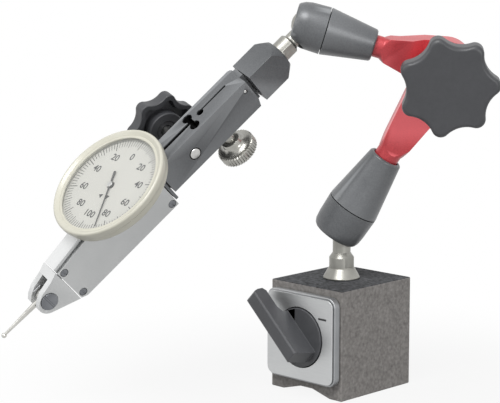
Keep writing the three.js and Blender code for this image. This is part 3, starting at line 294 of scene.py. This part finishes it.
class Finish:
    """A material with its shader, and the patterns that feed it."""

    def __init__(self, name, **shader):
        self.material = bpy.data.materials.new(name)
        self.material.use_nodes = True
        self.tree = self.material.node_tree
        self.shader = self.tree.nodes["Principled BSDF"]
        self.feed(**shader)
        self.points = self.node("ShaderNodeTexCoord", {}, {}).out("Object")

    def node(self, kind, settings, inputs):
        made = self.tree.nodes.new(kind)
        for key, value in settings.items():
            setattr(made, key, value)
        for key, value in inputs.items():
            self.plug(made.inputs[key], value)
        return Step(self, made)

    def plug(self, socket, value):
        if isinstance(value, Value):
            self.tree.links.new(value.socket, socket)
        elif isinstance(value, (tuple, list, Vector)) and socket.type == "RGBA" and len(value) == 3:
            socket.default_value = (*value, 1.0)
        else:
            socket.default_value = value

    def feed(self, **values):
        """Sets the shader's sockets, by their names with _ for a space."""
        for key, value in values.items():
            self.plug(self.shader.inputs[key.replace("_", " ")], value)
        return self

    def stretched(self, scale):
        """The object's coordinates, scaled apart along its axes."""
        return self.node("ShaderNodeMapping", {}, {"Vector": self.points, "Scale": scale}).out("Vector")

    def cloud(self, scale, detail=3.0, roughness=0.55, points=None):
        inputs = {"Vector": points or self.points, "Scale": scale, "Detail": detail, "Roughness": roughness}
        return self.node("ShaderNodeTexNoise", {}, inputs).out(0)

    def cells(self, scale):
        inputs = {"Vector": self.points, "Scale": scale, "Randomness": 1.0}
        return self.node("ShaderNodeTexVoronoi", {"feature": "SMOOTH_F1"}, inputs).out("Distance")

    def vector(self, operation, first, second=None):
        inputs = {0: first} if second is None else {0: first, 1: Vector(second)}
        return self.node("ShaderNodeVectorMath", {"operation": operation}, inputs)

    def along(self, way, origin=(0, 0, 0)):
        """Distance in metres along a direction, from a point."""
        shifted = self.vector("SUBTRACT", self.points, origin).out("Vector")
        return self.vector("DOT_PRODUCT", shifted, way).out("Value")

    def off_axis(self, way, origin):
        """Distance in metres from an axis."""
        shifted = self.vector("SUBTRACT", self.points, origin).out("Vector")
        crossed = self.vector("CROSS_PRODUCT", shifted, way).out("Vector")
        return self.vector("LENGTH", crossed).out("Value")

    def lines(self, distance, pitch):
        """Fine uneven lines across a distance, one about every pitch metres."""
        inputs = {"W": distance, "Scale": 1 / pitch, "Detail": 2.0, "Roughness": 0.6}
        return self.node("ShaderNodeTexNoise", {"noise_dimensions": "1D"}, inputs).out(0)

    def mixed(self, share, first, second):
        """The first colour where the share is 0, the second where it is 1."""
        settings = {"data_type": "RGBA", "clamp_factor": True}
        return self.node("ShaderNodeMix", settings, {0: share, 6: first, 7: second}).out(2)

    def bump(self, height, strength, distance):
        inputs = {"Height": height, "Strength": strength, "Distance": distance}
        return self.node("ShaderNodeBump", {}, inputs).out("Normal")

    def wear_and_highlight(self):
        """1 along sharp outer edges, 0 elsewhere."""
        curve = self.node("ShaderNodeNewGeometry", {}, {}).out("Pointiness")
        return curve.rise(0.52, 0.6)


def srgb(text):
    """A colour as it looks on a screen, to the shader's linear numbers."""
    parts = [int(text[i:i + 2], 16) / 255 for i in (0, 2, 4)]
    return tuple(c / 12.92 if c <= 0.04045 else ((c + 0.055) / 1.055) ** 2.4 for c in parts)


def hammertone():
    """Mottled enamel, duller on the top face of the base, and darker there in painted shade."""
    f = Finish("hammertone_enamel", Metallic=0.0, IOR=1.25, Coat_Roughness=0.25)
    dimples = f.cells(1100)
    coarse = f.cells(620)
    mottle = f.cloud(900, 4)
    patches = f.cloud(130, 2)
    top_starts, top_ends = 34.7 * MM, 34.9 * MM
    on_top = f.along(AXIS_Z).rise(top_starts, top_ends)
    speck = (mottle - 0.5) * 2.2 + (dimples - 0.4) * 0.9 + (patches - 0.5) * 0.5
    colour = f.mixed((speck * 0.5 + 0.5).clamped(), srgb("989592"), srgb("5c5957"))
    # The top face's darker colours are painted shade; the speckle in them is the enamel's own.
    top = f.mixed((speck * 0.8 + 0.45).clamped(), srgb("56575a"), srgb("101112"))
    height = dimples * 0.7 + coarse * 0.5 + mottle * 0.3
    return f.feed(
        Base_Color=f.mixed(on_top, colour, top),
        Roughness=0.4 + mottle * 0.25 + on_top * 0.2,
        Coat_Weight=0.2 - on_top * 0.2,
        Normal=f.bump(height, 0.6, 0.00014),
    )


def machined(name, colour, dark, way, origin, roughness=0.22, metallic=1.0):
    """Metal off the lathe: fine rings round an axis."""
    f = Finish(name, Metallic=metallic)
    rings = f.lines(f.along(way, origin), 0.12 * MM)
    faces = f.lines(f.off_axis(way, origin), 0.12 * MM)
    grime = f.cloud(260, 3)
    both = rings * 0.5 + faces * 0.5
    return f.feed(
        Base_Color=f.mixed((grime * 0.9 + both * 0.35 - 0.25).clamped(), colour, dark),
        Roughness=roughness + both * 0.14,
        Normal=f.bump(both, 0.25, 0.00003),
    )


def anodised(name, colour, dark, way, origin, roughness, metallic):
    """Turned metal under a dyed skin, lighter along its sharp edges as rubbed metal and a painted highlight."""
    f = Finish(name, Metallic=metallic, Coat_Weight=0.12, Coat_Roughness=0.3)
    rings = f.lines(f.along(way, origin), 0.16 * MM)
    grain = f.cloud(5200, 2)
    tone = f.cloud(150, 2)
    speckle = f.cloud(2100, 3)
    skin = f.mixed((tone * 0.6 + rings * 0.3 + (speckle - 0.5) * 1.4).clamped(), colour, dark)
    # The light edge colour is bare metal rubbed through, and a painted highlight along the edges.
    rubbed_and_highlight = tuple(min(1, c * 2.2 + 0.06) for c in colour)
    return f.feed(
        Base_Color=f.mixed(f.wear_and_highlight() * 0.6, skin, rubbed_and_highlight),
        Roughness=roughness + grain * 0.1 + rings * 0.08,
        Normal=f.bump(grain * 0.5 + rings, 0.22, 0.00003),
    )


BLOCK_COLOURS = srgb("5c5e60"), srgb("444649")


def block_anodised(rise):
    """The block's finish, with painted shade: the walls of its slots and holes are painted nearly black."""
    f = anodised("block_dark_slot_shade", *BLOCK_COLOURS, side_way, head_at, 0.34, 0.2)
    depth, side, run = (f.along(way, head_at) for way in (dial_way, side_way, head.col[2].to_3d()))
    top, wall, first_cut = rise / MM, 4.6, 30.5
    # Painted shade: a mask of the slot and hole walls, which turns them nearly black.
    inside = depth.rise(-top * MM, (0.2 - top) * MM)
    inside = inside * (1 - depth.rise((top - 0.6) * MM, (top - 0.1) * MM))
    inside = inside * side.rise(-wall * MM, (0.2 - wall) * MM)
    inside = inside * (1 - side.rise((wall - 0.2) * MM, wall * MM))
    inside = inside * run.rise(first_cut * MM, (first_cut + 0.5) * MM)
    skin = Value(f, f.shader.inputs["Base Color"].links[0].from_socket)
    # The near-black here is painted shade in the slots and holes.
    return f.feed(Base_Color=f.mixed(inside, skin, srgb("0b0b0c")))


def moulded(name, colour, dark, roughness):
    """Matt plastic with the grain of its mould."""
    f = Finish(name, Coat_Weight=0.08, Coat_Roughness=0.35)
    grain = f.cloud(4200, 3)
    flow = f.cloud(120, 3)
    dust = f.cloud(700, 4)
    return f.feed(
        Base_Color=f.mixed((flow * 0.7 + dust * 0.5 - 0.1).clamped(), colour, dark),
        Roughness=roughness + grain * 0.16,
        Normal=f.bump(grain * 0.8 + flow * 0.2, 0.3, 0.00004),
    )


def brushed(name, colour, dark, scale, roughness):
    """Sheet metal with straight brush strokes along one axis."""
    f = Finish(name, Metallic=1.0)
    strokes = f.cloud(1.0, 3, 0.6, f.stretched(scale))
    tone = f.cloud(90, 2)
    return f.feed(
        Base_Color=f.mixed((strokes * 0.7 + tone * 0.4 - 0.1).clamped(), colour, dark),
        Roughness=roughness + strokes * 0.16,
        Normal=f.bump(strokes, 0.15, 0.00002),
    )


def satin_metal(name, colour, dark, roughness):
    """Fine bead-blasted and plated metal."""
    f = Finish(name, Metallic=0.85)
    grain = f.cloud(6000, 2)
    tone = f.cloud(110, 3)
    skin = f.mixed((tone * 0.9 - 0.1).clamped(), colour, dark)
    return f.feed(
        # The near-white along the sharp edges is rubbed plating and a painted highlight.
        Base_Color=f.mixed(f.wear_and_highlight() * 0.3, skin, (0.9, 0.9, 0.9)),
        Roughness=roughness + grain * 0.12,
        Normal=f.bump(grain, 0.18, 0.00002),
    )


def dial_white():
    """The matt ground of the dial."""
    f = Finish("dial_print_ground", Roughness=0.5)
    tone = f.cloud(60, 2)
    return f.feed(
        Base_Color=f.mixed(tone, srgb("bfbeb8"), srgb("b7b6b0")),
        Normal=f.bump(f.cloud(9000, 1), 0.05, 0.00001),
    )


def cream_enamel():
    """The bezel's glossy enamel."""
    f = Finish("bezel_cream", Coat_Weight=0.3, Coat_Roughness=0.2)
    tone = f.cloud(140, 3)
    return f.feed(
        Base_Color=f.mixed((tone * 0.8 - 0.1).clamped(), srgb("c6c4b7"), srgb("b6b4a6")),
        Roughness=0.32 + f.cloud(4000, 2) * 0.12,
        Normal=f.bump(f.cloud(2600, 2), 0.1, 0.00002),
    )


def clear_crystal():
    """A flat acrylic crystal: a thin film of gloss over what lies under it."""
    f = Finish("crystal_clear", Base_Color=(0.9, 0.92, 0.9, 1), Roughness=0.04, IOR=1.45)
    return f.feed(Alpha=0.05 + f.cloud(300, 3) * 0.03)


def dial_ink():
    """The black of the print and the pointer."""
    f = Finish("dial_ink")
    return f.feed(
        Base_Color=f.mixed(f.cloud(2500, 2), srgb("1c1c1e"), srgb("2b2b2e")),
        Roughness=0.5 + f.cloud(3000, 2) * 0.1,
    )


STUD_COLOURS = srgb("a9a8a2"), srgb("7c7b76")
SLEEVE_COLOURS = srgb("656769"), srgb("4b4d50")
ARM_COLOURS = srgb("c8444a"), srgb("a02f36")
nose_at = joint_pos("lever_swing")
adjuster_at = joint_pos("fine_screw_turn")

paint = hammertone()
dark_steel = machined("magnet_steel", srgb("70747a"), srgb("4b4e53"), AXIS_Y, magnet_at, 0.35)
plug_steel = machined("plug_steel", srgb("a4a6a9"), srgb("7d7f83"), AXIS_Y, magnet_at, 0.3)
switch_plastic = moulded("switch_plastic", srgb("4b4c4f"), srgb("37383b"), 0.4)
plate_backing = satin_metal("plate_backing", srgb("97999b"), srgb("77797c"), 0.4)
plate_silver = brushed("plate_silver", srgb("cfd0d0"), srgb("b2b4b5"), (300, 9000, 9000), 0.32)
stud_steel = machined("stud_bright", *STUD_COLOURS, AXIS_Z, (0, 0, 0), 0.34, 0.85)
head_stud_steel = machined("head_stud_bright", *STUD_COLOURS, head_way, head_at, 0.34, 0.85)
lower_dark = anodised("lower_dark", *SLEEVE_COLOURS, lower_way, lower_ball_at, 0.3, 0.2)
upper_dark = anodised("upper_dark", *SLEEVE_COLOURS, upper_way, upper_ball_at, 0.3, 0.2)
lower_red = anodised("lower_red", *ARM_COLOURS, lower_way, lower_ball_at, 0.28, 0.25)
upper_red = anodised("upper_red", *ARM_COLOURS, upper_way, upper_ball_at, 0.28, 0.25)
elbow_steel = machined("elbow_steel", srgb("c3c4c6"), srgb("8e9093"), elbow_way, elbow_at, 0.2)
head_dark = anodised("head_dark", *BLOCK_COLOURS, side_way, head_at, 0.34, 0.2)
knob_plastic = moulded("knob_plastic", srgb("414245"), srgb("2f3033"), 0.38)
adjust_steel = machined(
    "adjuster_bright", srgb("c2c1bb"), srgb("85847f"), dial_way, adjuster_at, metallic=0.85,
)
clamp_steel = machined(
    "clamp_bolt_bright", srgb("d8d8d6"), srgb("9b9b99"), side_way, joint_pos("clamp_knob_turn"),
)
case_satin = satin_metal("case_satin", srgb("c0c1c1"), srgb("b0b2b2"), 0.46)
screw_dark = machined("screw_dark", srgb("8c8e92"), srgb("55575b"), side_way, nose_at, 0.3)
stylus_bright = machined("stylus_bright", srgb("d5d4cf"), srgb("9c9b97"), head_way, nose_at, 0.18)
dial_ground = dial_white()
bezel_finish = cream_enamel()
glass = clear_crystal()
black_ink = dial_ink()
wheel_brass = machined("wheel_brass", srgb("c0a462"), srgb("8d733c"), side_way, nose_at)


# Pieces

bodies = frame["record"]["behaviour"]["bodies"]
body_of_node = {node: body for body, nodes in bodies.items() for node in nodes}


def finish_piece(obj, finish, body, nodes=()):
    obj.data.materials.clear()
    obj.data.materials.append(finish.material)
    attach(obj, body)
    if nodes:
        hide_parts(*nodes)
    return obj


def finish_node(obj, finish, node):
    """Takes a solid's place, with its body, and hides the solid."""
    obj.name = node + "_finished"
    return finish_piece(obj, finish, body_of_node[node], [node])


def dressed(node, finish, width, segments=2, angle=30, smooth=34):
    """The solid again, with its edges broken and its own finish."""
    return finish_node(soften(copy_of(node), width, segments, angle, smooth), finish, node)


LOBES = 7
TEETH = 40


def around(node, joint):
    """A solid's place about a joint's axis: its lowest and highest point along it, its
    reach, and a frame with its rim at the high end and X through the middle of a lobe."""
    at, way = joint_pos(joint), joint_axis(joint)
    frame_at = place_at(at, way.orthogonal(), way.cross(way.orthogonal()))
    spots = [frame_at.inverted() @ v.co for v in frame["nodes"][node].data.vertices]
    reach = max(math.hypot(v.x, v.y) for v in spots)
    rim = [v for v in spots if math.hypot(v.x, v.y) > reach * 0.93]
    middle = (min(v.z for v in spots) + max(v.z for v in spots)) / 2
    if sum(v.z for v in rim) / len(rim) < middle:
        frame_at = frame_at @ Matrix.Rotation(math.pi, 4, "X")
        spots = [Vector((v.x, -v.y, -v.z)) for v in spots]
        rim = [Vector((v.x, -v.y, -v.z)) for v in rim]
    lobes = [math.atan2(v.y, v.x) * LOBES for v in rim]
    turn = math.atan2(sum(map(math.sin, lobes)), sum(map(math.cos, lobes))) / LOBES
    heights = [v.z / MM for v in spots]
    return min(heights), max(heights), reach / MM, frame_at @ Matrix.Rotation(turn, 4, "Z")


def on_circle(radius, angle):
    return radius * math.cos(angle), radius * math.sin(angle)


def star_outline(reach, valley, tip):
    """The rim as seen along the axis: round lobes with wide round hollows between them."""
    half = math.pi / LOBES
    far = reach - tip
    hollow = (far ** 2 + valley ** 2 - 2 * far * valley * math.cos(half) - tip ** 2) / (
        2 * tip + 2 * far * math.cos(half) - 2 * valley
    )
    deep = valley + hollow
    slope = math.atan2(deep * math.sin(half), deep * math.cos(half) - far)
    sector = []
    for step in range(-6, 7):
        x, y = on_circle(tip, slope * step / 6)
        sector.append((far + x, y))
    for step in range(-4, 5):
        x, y = on_circle(hollow, half + math.pi - (slope - half) * step / 5)
        sector.append((deep * math.cos(half) + x, deep * math.sin(half) + y))
    points = []
    for lobe in range(LOBES):
        cos, sin = on_circle(1, 2 * half * lobe)
        points += [(x * cos - y * sin, x * sin + y * cos) for x, y in sector]
    return points


def traced(name, points, levels):
    """A prism over an outline, drawn point by point. A level is its height and its share
    of the outline's width, so that the edges can be rounded."""
    low, share = levels[0]
    clear()
    bpy.ops.mesh.primitive_plane_add(size=1 * MM)
    obj = named(name)
    edit(obj, "VERT")
    bpy.ops.mesh.merge(type="CENTER")
    spots = [Vector((x * share, y * share, low)) * MM for x, y in points]
    bpy.ops.transform.translate(value=spots[0])
    for last, spot in zip(spots, spots[1:]):
        bpy.ops.mesh.extrude_region_move(TRANSFORM_OT_translate={"value": spot - last})
    bpy.ops.mesh.select_all(action="SELECT")
    bpy.ops.mesh.edge_face_add()
    for high, wide in levels[1:]:
        bpy.ops.mesh.extrude_region_move(TRANSFORM_OT_translate={"value": (0, 0, (high - low) * MM)})
        grow = (wide / share, wide / share, 1)
        bpy.ops.transform.resize(value=grow, center_override=(0, 0, high * MM))
        low, share = high, wide
    object_mode()
    return outward(settle(obj))


def star_knob(node, joint, body, hub, valley, tip, crown, insert, bolt):
    """A moulded star knob: a rim with rounded lobes, hollow behind, round its hub. The
    insert is the radius and the depth of its seat, the bolt is the radius of its hole."""
    foot, face, reach, place = around(node, joint)
    wall, roof, brim, trim, round_steps = 1.7, 2.4, 0.35, 0.25, 5
    reach -= trim
    back, under = face - body, face - roof
    levels = [(back, 1 - brim / reach), (back + brim * 0.4, 1 - brim * 0.3 / reach), (back + brim, 1)]
    for step in range(round_steps + 1):
        out, up = on_circle(crown, step / round_steps * math.pi / 2)
        levels.append((face - crown + up, 1 - (crown - out) / reach))
    disc = traced("star_disc", star_outline(reach, valley, tip), levels)
    hollow = traced(
        "hollow", star_outline(reach - wall, valley - wall, tip - 0.3 * wall),
        [(back - 2, 1), (under - 0.7, 1), (under, 0.94)],
    )
    cut_with(hollow, round_bar("hub_clearance", hub, back - 3, face, 72))
    cut_with(disc, hollow)
    if foot < back - 0.5:
        post = [(0, foot), (hub - 0.3, foot), (hub, foot + 0.3), (hub, under + 0.4), (0, under + 0.4)]
        combined(disc, turned("hub", post), "UNION")
    seat, depth = insert
    end = foot + depth
    bore = [(0, foot - 1), (seat, foot - 1), (seat, end), (bolt, end), (bolt, end + 1.6), (0, end + 1.6)]
    cut_with(disc, turned("bore", bore))
    return finish_node(shaded(settle(disc, place), 40), knob_plastic, node)


def cream_bezel():
    """The bezel: a side with a step line, a round rim, and a slope down to the crystal."""
    side = [(18.3, 7.4), (18.8, 7.6), (19, 8), (19.05, 9.5), (18.9, 9.62), (19.1, 9.8), (19.5, 9.95)]
    rim = [(19.65, 10.3), (19.65, 11.5), (19.55, 11.85), (19.3, 12.12), (18.95, 12.25), (18.7, 12.18)]
    slope = [(18.5, 12), (17.75, 11.62), (17.65, 11.5), (17.55, 11.55), (17.1, 11.6), (16.85, 11.5)]
    seat = [(16.75, 11.2), (17.6, 11.15), (17.6, 9.35), (12.3, 9.35), (12.3, 7.4)]
    obj = turned("bezel_finished", [seat[-1], *side, *rim, *slope, *seat], 192)
    return finish_node(shaded(settle(obj, dial), 48), bezel_finish, "bezel")


def slotted_block():
    """The clamp block with the saw cuts and the relief holes that let it spring."""
    node = "clamp_block"
    obj = copy_of(node)
    rise = max(abs((head.inverted() @ v.co).y) for v in obj.data.vertices)
    flip = head @ Matrix.Rotation(math.radians(90), 4, "X")
    relief, web, saw_end, through = 2.35, 47, 42.9, 14
    for side, station, radius in ((-relief, web, 1.72), (relief, web, 1.72), (-0.25, saw_end, 1.2)):
        hole = round_bar("relief", radius, -through, through, 64)
        cut_with(obj, settle(hole, flip @ Matrix.Translation((side * MM, station * MM, 0))))
    jaw_slit = (-0.72, 0.72, web, 60.7)
    saw_cut = (-1.05, -0.4, 31.6, saw_end)
    relief_web = (-relief, relief, web - 0.9, web + 0.9)
    for left, right, start, end in (jaw_slit, saw_cut, relief_web):
        slot = block("slot", (left, -through, start), (right, through, end))
        cut_with(obj, settle(slot, head))
    return finish_node(soften(obj, 0.2, 2, 28, 30), block_anodised(rise), node)


def knurled_screw():
    """The fine adjusting screw: a waisted boss behind a thick knurled head."""
    foot, face, reach, place = around("fine_adjust_screw", "fine_screw_turn")
    tooth, trim = (0, 0.16, 0.34, 0.16), 0.7
    steps = TEETH * len(tooth)
    outline = [
        on_circle(reach - trim - tooth[step % len(tooth)], 2 * math.pi * step / steps)
        for step in range(steps)
    ]
    rim = traced("rim", outline, [(face - 3.3, 0.95), (face - 2.95, 1), (face - 0.3, 1), (face, 0.96)])
    tip = [(0, foot), (0.7, foot), (1.85, foot + 2.2)]
    boss = [
        (1.85, face - 6.6), (2.6, face - 6.55), (3.1, face - 6.2), (3.2, face - 5.7), (3.2, face - 4.9),
        (3.5, face - 4.3), (4.1, face - 3.75), (4.9, face - 3.4), (5.5, face - 3.25), (5.5, face - 2.5),
        (0, face - 2.5),
    ]
    combined(rim, turned("stem", tip + boss, 72), "UNION")
    relief = [(0, face - 0.5), (4.3, face - 0.5), (4.6, face - 0.3), (4.9, face + 0.2), (0, face + 0.2)]
    cut_with(rim, turned("relief", relief, 72))
    return finish_node(shaded(settle(rim, place), 34), adjust_steel, "fine_adjust_screw")


def red_arm(node, finish):
    """A red arm, a hair thinner than the solid so that the two clear each other at the stops."""
    obj = copy_of(node)
    edit(obj)
    bpy.ops.transform.shrink_fatten(value=-0.06 * MM)
    object_mode()
    return finish_node(soften(obj, 0.2, 2, 50, 60), finish, node)


def painted_base():
    """Both pole pieces and the strips between them, under one coat of enamel."""
    low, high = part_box("pole_left"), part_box("pole_right")
    left, right = low[0].x / MM, high[1].x / MM
    front, back = low[0].y / MM, low[1].y / MM
    top = low[1].z / MM
    obj = block("painted_base", (left, front, 0), (right, back, top))
    # The groove's half width at the ground and at its roof. Its walls are drawn on below the ground.
    ground, roof, deep, below = 9.9, 2.6, 2, 1
    mouth = ground + (ground - roof) * below / deep
    groove = block("groove", (-mouth, front - 2, -below), (mouth, back + 2, deep))
    edit(groove, "EDGE", False)
    object_mode()
    for edge in groove.data.edges:
        ends = [groove.data.vertices[i].co for i in edge.vertices]
        edge.select = all(v.z > 0 for v in ends) and abs(ends[0].x - ends[1].x) < 1e-6
    bpy.ops.object.mode_set(mode="EDIT")
    bpy.ops.transform.resize(value=(roof / mouth, 1, 1), center_override=(0, 0, deep * MM))
    object_mode()
    cut_with(obj, groove)
    across = Matrix.Translation(magnet_at) @ Matrix.Rotation(math.radians(90), 4, "X")
    cut_with(obj, settle(round_bar("magnet_bore", 8.2, -back - 1, 12, 128), across))
    cut_with(obj, settle(round_bar("shaft_hole", 4.2, 11, 20, 48), across))
    soften(obj, 0.45, 3, 25, 30)
    inside = ["pole_left", "pole_right", "separator_upper", "separator_lower"]
    return finish_piece(obj, paint, "base", inside)


painted_base()
dressed("rear_plug", plug_steel, 0.2)
dressed("magnet_rotor", dark_steel, 0.1)
dressed("backing_plate", plate_backing, 0.35, 3)
dressed("face_plate", plate_silver, 0.12)
dressed("switch_lever", switch_plastic, 0.35, 3)
dressed("lower_stud", stud_steel, 0.15, 2, 25)
dressed("lower_ball", stud_steel, 0.05)
dressed("upper_stud", head_stud_steel, 0.15, 2, 25)
dressed("upper_ball", head_stud_steel, 0.05)
for arm, dark, red in (("lower", lower_dark, lower_red), ("upper", upper_dark, upper_red)):
    dressed(arm + "_cap", dark, 0.25, 3, 30, 40)
    dressed(arm + "_sleeve", dark, 0.15, 2)
    dressed(arm + "_pressure_cup", wheel_brass, 0.05)
    dressed(arm + "_push_rod", elbow_steel, 0.05)
    red_arm(arm + "_arm", red)
dressed("elbow_clamp_cone", elbow_steel, 0.1)
dressed("elbow_bolt", elbow_steel, 0.15)
dressed("elbow_washer", elbow_steel, 0.12)
star_knob(
    "elbow_knob", "elbow_knob_turn", body=6.2, hub=6.6, valley=12.6, tip=2.7, crown=1.6,
    insert=(3.75, 8.55), bolt=2.3,
)
dressed("elbow_knob_insert", wheel_brass, 0.1)
dressed("neck_block", head_dark, 0.3, 3)
slotted_block()
dressed("stop_pin", clamp_steel, 0.05)
dressed("clamp_bolt", clamp_steel, 0.15)
star_knob(
    "clamp_knob", "clamp_knob_turn", body=4.8, hub=6, valley=9.4, tip=2.1, crown=1.2,
    insert=(3.35, 3.75), bolt=1.8,
)
dressed("clamp_knob_insert", knob_plastic, 0.1)
knurled_screw()
dressed("rear_dovetail", head_dark, 0.15)
dressed("indicator_case", case_satin, 0.2, 2, 25, 14)
dressed("side_cover", case_satin, 0.25, 3)
for number in (1, 2, 3):
    dressed(f"cover_screw_{number}", screw_dark, 0.06)
dressed("nose_fork", case_satin, 0.2, 2)
dressed("pivot_screw", screw_dark, 0.1)
dressed("stylus", stylus_bright, 0.03, 1)
dressed("stylus_ball", stylus_bright, 0.01, 1, 60, 60)
dressed("measuring_lever", elbow_steel, 0.08)
dressed("crown_wheel", wheel_brass, 0.08)
cream_bezel()
dressed("dial_seat", case_satin, 0.1)
dressed("dial_face", dial_ground, 0.05)
dressed("crystal", glass, 0.08)
dressed("pointer", black_ink, 0.03, 1)
hub_top = max((dial.inverted() @ v.co).z for v in frame["nodes"]["pointer"].data.vertices) / MM
hub_cap = turned("hub_cap", [
    (0, hub_top - 0.05), (0.95, hub_top - 0.05), (0.85, hub_top + 0.05), (0, hub_top + 0.09),
], 40)
finish_piece(shaded(settle(hub_cap, dial), 50), clamp_steel, "pointer")


# Dial print

FACE_HEIGHT, INK = 10.0, 0.03
DIVISIONS = 100
print_at = dial @ Matrix.Translation((0, 0, (FACE_HEIGHT + INK) * MM))
zero_turn = math.radians(12.4)


def dial_turn(step):
    """Turn of a graduation about the dial's axis, from the top of the print."""
    return Matrix.Rotation(zero_turn - step * 2 * math.pi / DIVISIONS, 4, "Z")


def printed_line(name, width, inner, outer):
    """A flat line along a radius, in millimetres."""
    clear()
    bpy.ops.mesh.primitive_plane_add(size=1, location=(0, (inner + outer) / 2 * MM, 0))
    bpy.context.object.scale = (width * MM, (outer - inner) * MM, 1)
    return settle(named(name))


marks = []
for step in range(DIVISIONS):
    width, inner = (0.26, 13.6) if step % 10 == 0 else (0.22, 14.1) if step % 5 == 0 else (0.18, 14.6)
    marks.append(settle(printed_line("mark", width, inner, 16.8), dial_turn(step)))
graduations = settle(joined("dial_graduations", marks), print_at)
finish_piece(graduations, black_ink, "bezel")


def written(text, size):
    """Flat figures as a mesh, in the middle of the dial."""
    clear()
    bpy.ops.object.text_add()
    letters = bpy.context.object
    letters.data.body = text
    letters.data.size = size * MM
    letters.data.align_x = "CENTER"
    letters.data.align_y = "CENTER"
    letters.data.resolution_u = 4
    letters.data.offset = 0.06 * MM
    bpy.ops.object.convert(target="MESH")
    return settle(bpy.context.object)


numerals = []
for tenth in range(10):
    text = str(20 * min(tenth, 10 - tenth))
    spot = dial_turn(tenth * 10) @ Vector((0, 10.9 * MM, 0))
    numerals.append(settle(written(text, 3.2), Matrix.Translation(spot) @ dial_turn(0)))
figures = settle(joined("dial_figures", numerals), print_at)
finish_piece(figures, black_ink, "bezel")

# Two small arrowheads under the pointer's hub show which way it turns.
arrowheads = []
for side in (-1, 1):
    clear()
    bpy.ops.mesh.primitive_circle_add(vertices=3, radius=1.0 * MM, fill_type="NGON")
    swing = Matrix.Rotation(zero_turn + math.radians(188 + side * 19), 4, "Z")
    lean = Matrix.Rotation(math.radians(side * 90), 4, "Z")
    spot = swing @ Matrix.Translation((0, 4.3 * MM, 0)) @ lean
    arrowheads.append(settle(named("arrowhead"), spot))
arrows = settle(joined("dial_arrows", arrowheads), print_at)
finish_piece(arrows, black_ink, "bezel")

# The switch's index line, printed on the face plate.
clear()
plate_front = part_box("face_plate")[0].y - 0.02 * MM
bpy.ops.mesh.primitive_plane_add(size=1)
bpy.context.object.scale = (3.3 * MM, 0.62 * MM, 1)
line_at = Vector((9.7 * MM, plate_front, 26 * MM))
upright = Matrix.Translation(line_at) @ Matrix.Rotation(math.radians(90), 4, "X")
index_line = settle(settle(named("switch_index_line")), upright)
finish_piece(index_line, black_ink, "base")


# Stage

def seen_rays(f):
    """1 for what the camera sees, straight, in metal or through glass."""
    path = f.node("ShaderNodeLightPath", {}, {})
    return (path.out("Is Camera Ray") + path.out("Is Glossy Ray") + path.out("Is Transmission Ray")).clamped()


def studio():
    """A pale floor and an even white surround, with the light kept low."""
    clear()
    bpy.ops.mesh.primitive_plane_add(size=30)
    floor = named("floor")
    f = Finish("floor_white", Base_Color=(0.35, 0.35, 0.35, 1), Roughness=1.0, Specular_IOR_Level=0.0)
    distance = f.off_axis(AXIS_Z, (0, 0, 0))
    white = f.node("ShaderNodeEmission", {}, {"Color": (1, 1, 1, 1), "Strength": 1.0}).out(0)
    share = seen_rays(f) * (distance.rise(0.03, 0.14) * 0.1 + 0.9)
    mixer = f.node("ShaderNodeMixShader", {}, {0: share, 1: Value(f, f.shader.outputs[0]), 2: white}).out(0)
    f.tree.links.new(mixer.socket, f.tree.nodes["Material Output"].inputs["Surface"])
    floor.data.materials.append(f.material)

    world = bpy.data.worlds.new("studio_light")
    world.use_nodes = True
    bpy.context.scene.world = world
    nodes, links = world.node_tree.nodes, world.node_tree.links
    background = nodes["Background"]
    path = nodes.new("ShaderNodeLightPath")
    total = path.outputs["Is Camera Ray"]
    for kind in ("Is Glossy Ray", "Is Transmission Ray"):
        either = nodes.new("ShaderNodeMath")
        either.operation = "MAXIMUM"
        links.new(total, either.inputs[0])
        links.new(path.outputs[kind], either.inputs[1])
        total = either.outputs[0]
    level = nodes.new("ShaderNodeMapRange")
    links.new(total, level.inputs["Value"])
    level.inputs["To Min"].default_value = 0.4
    level.inputs["To Max"].default_value = 1.0
    links.new(level.outputs[0], background.inputs["Strength"])
    background.inputs["Color"].default_value = (1, 1, 1, 1)


def lamp(name, at, size, power):
    clear()
    bpy.ops.object.light_add(type="AREA", location=at)
    light = bpy.context.object
    light.name = name
    light.data.size = size
    light.data.energy = power
    aim = Vector((0, -0.03, 0.07))
    light.rotation_euler = (aim - Vector(at)).to_track_quat("-Z", "Y").to_euler()


studio()
lamp("key_lamp", (0.2, -0.55, 0.9), 0.45, 8)
lamp("side_lamp", (0.95, -0.3, 0.3), 0.35, 3)
lamp("front_lamp", (-0.5, -0.85, 0.5), 0.4, 2)

clear()
bpy.ops.object.camera_add(location=(0.39114, -0.44126, 0.15670))
camera = bpy.context.object
camera.name = "photo_camera"
azimuth, elevation = math.radians(44.394), math.radians(9.358)
level = math.cos(elevation)
back = Vector((math.sin(azimuth) * level, -math.cos(azimuth) * level, math.sin(elevation)))
camera.rotation_euler = (-back).to_track_quat("-Z", "Y").to_euler()
camera.data.sensor_width = 36
camera.data.lens = 135.4
camera.data.clip_start = 0.01
camera.data.clip_end = 100
bpy.context.scene.camera = camera
bpy.context.scene.view_settings.view_transform = "Standard"
